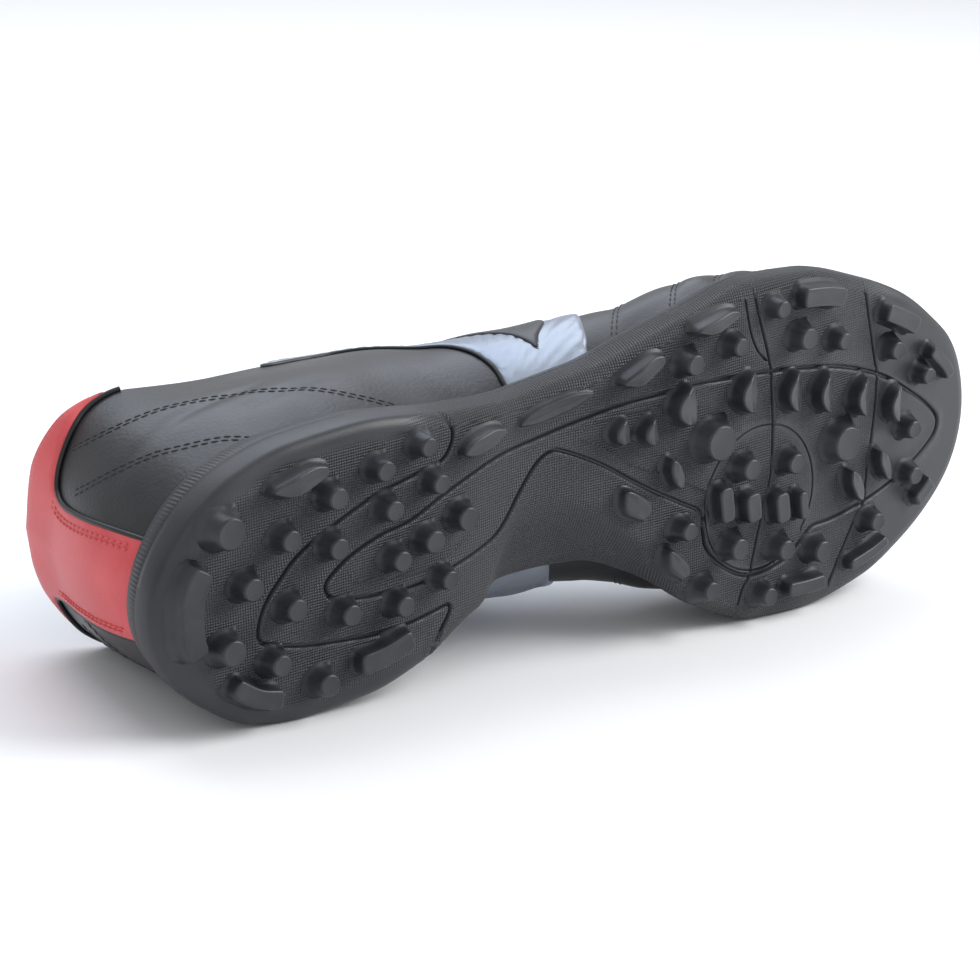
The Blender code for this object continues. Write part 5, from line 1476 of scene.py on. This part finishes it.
def stitch_rows(name, rows, shade, lift, radius=THREAD_RADIUS):
    """Stitches along some rows of places on the upper."""
    spots, ways, ups = [], [], []
    for line in rows:
        line = line[(line[:, 1] > 0.105) & (line[:, 1] < 0.972)]
        normal = upper_normal(line[:, 0], line[:, 1])
        raised = upper_at(line[:, 0], line[:, 1]) + normal * (
            lift + vamp_relief(line[:, 0], line[:, 1]))[:, None]
        gone = np.concatenate(([0.0], np.cumsum(np.linalg.norm(np.diff(raised, axis=0), axis=1))))
        at = np.arange(0.5 * STITCH_STEP, gone[-1], STITCH_STEP)
        for group, values in ((spots, raised), (ways, np.gradient(raised, axis=0)),
                              (ups, normal)):
            group.append(np.stack([np.interp(at, gone, values[:, n]) for n in range(3)], axis=1))
    spots, ways, ups = np.vstack(spots), np.vstack(ways), np.vstack(ups)
    mesh = bpy.data.meshes.new(name + " rows")
    mesh.from_pydata([tuple(p) for p in laid(spots)], [], [])
    for layer, values in (("along", ways), ("up", ups)):
        made = mesh.attributes.new(layer, "FLOAT_VECTOR", "POINT")
        made.data.foreach_set("vector", (values @ REST.T).astype(np.float32).ravel())
    holder = bpy.data.objects.new(name + " rows", mesh)
    scene.collection.objects.link(holder)
    modifier = holder.modifiers.new("stitching", "NODES")
    modifier.node_group = STITCHES
    sockets = {item.name: item.identifier for item in STITCHES.interface.items_tree
               if item.in_out == "INPUT"}
    modifier[sockets["Length"]] = STITCH_LENGTH
    modifier[sockets["Radius"]] = radius
    modifier[sockets["Thread"]] = shade.material
    bpy.context.view_layer.update()
    evaluated = holder.evaluated_get(bpy.context.evaluated_depsgraph_get())
    made = bpy.data.objects.new(name, bpy.data.meshes.new_from_object(evaluated))
    bpy.data.objects.remove(holder)
    for vertex in made.data.vertices:
        vertex.co.z = max(vertex.co.z, 0.00002)
    scene.collection.objects.link(made)
    made.data.shade_smooth()
    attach(made, "root")
    return made


def places_line(places):
    return soft_line(turned_to(places) * DOMAIN, 0.0007) / DOMAIN


black_thread = Shade("black thread")
black_thread.set(Base_Color=(0.030, 0.030, 0.034, 1.0), Roughness=0.6)
red_thread = Shade("red thread")
red_thread.set(Base_Color=(0.62, 0.075, 0.080, 1.0), Roughness=0.5)
rows = []
for side in (-1.0, 1.0):
    for quarter in QUARTER_ROWS:
        line = places_line([(side * along, up) for along, up in quarter])
        rows += [line, row_beside(line, side * DOUBLE * 1.2)]
    for at in VAMP_SEAMS[:-1]:
        ups_line = np.linspace(0.13, 0.90, 60)
        turn = angle_of(at + VAMP_SLANT * (ups_line - 0.25) * (1 - 0.35 * ease(0.4, 1.0, ups_line)))
        line = np.column_stack([side * turn, ups_line])
        rows += [row_beside(line, 0.5 * DOUBLE), row_beside(line, -0.5 * DOUBLE)]
    line = places_line([(side * along, up) for along, up in EYESTAY[1:12]])
stitch_rows("black_stitching", rows, black_thread, 0.00002)
rows = []
for places in (COUNTER_LATERAL[1:-1], COUNTER_MEDIAL[1:-1]):
    line = places_line(places)
    rows += [row_beside(line, -0.0026), row_beside(line, -0.0026 - DOUBLE)]
stitch_rows("red_stitching", rows, red_thread, PANEL_THICKNESS + 0.0001,
            THICK_THREAD)
rows = []
for side, direction in ((-1.0, 1.0), (1.0, -1.0)):
    line = places_line([(side * along, up) for along, up in EYESTAY[2:12]])
    rows += [row_beside(line, side * 0.0022), row_beside(line, side * (0.0022 + DOUBLE))]
stitch_rows("eyestay_stitching", rows, black_thread, STAY_THICKNESS)

size = {"cad": cad_box, "visual": [list(corner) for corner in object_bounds()]}
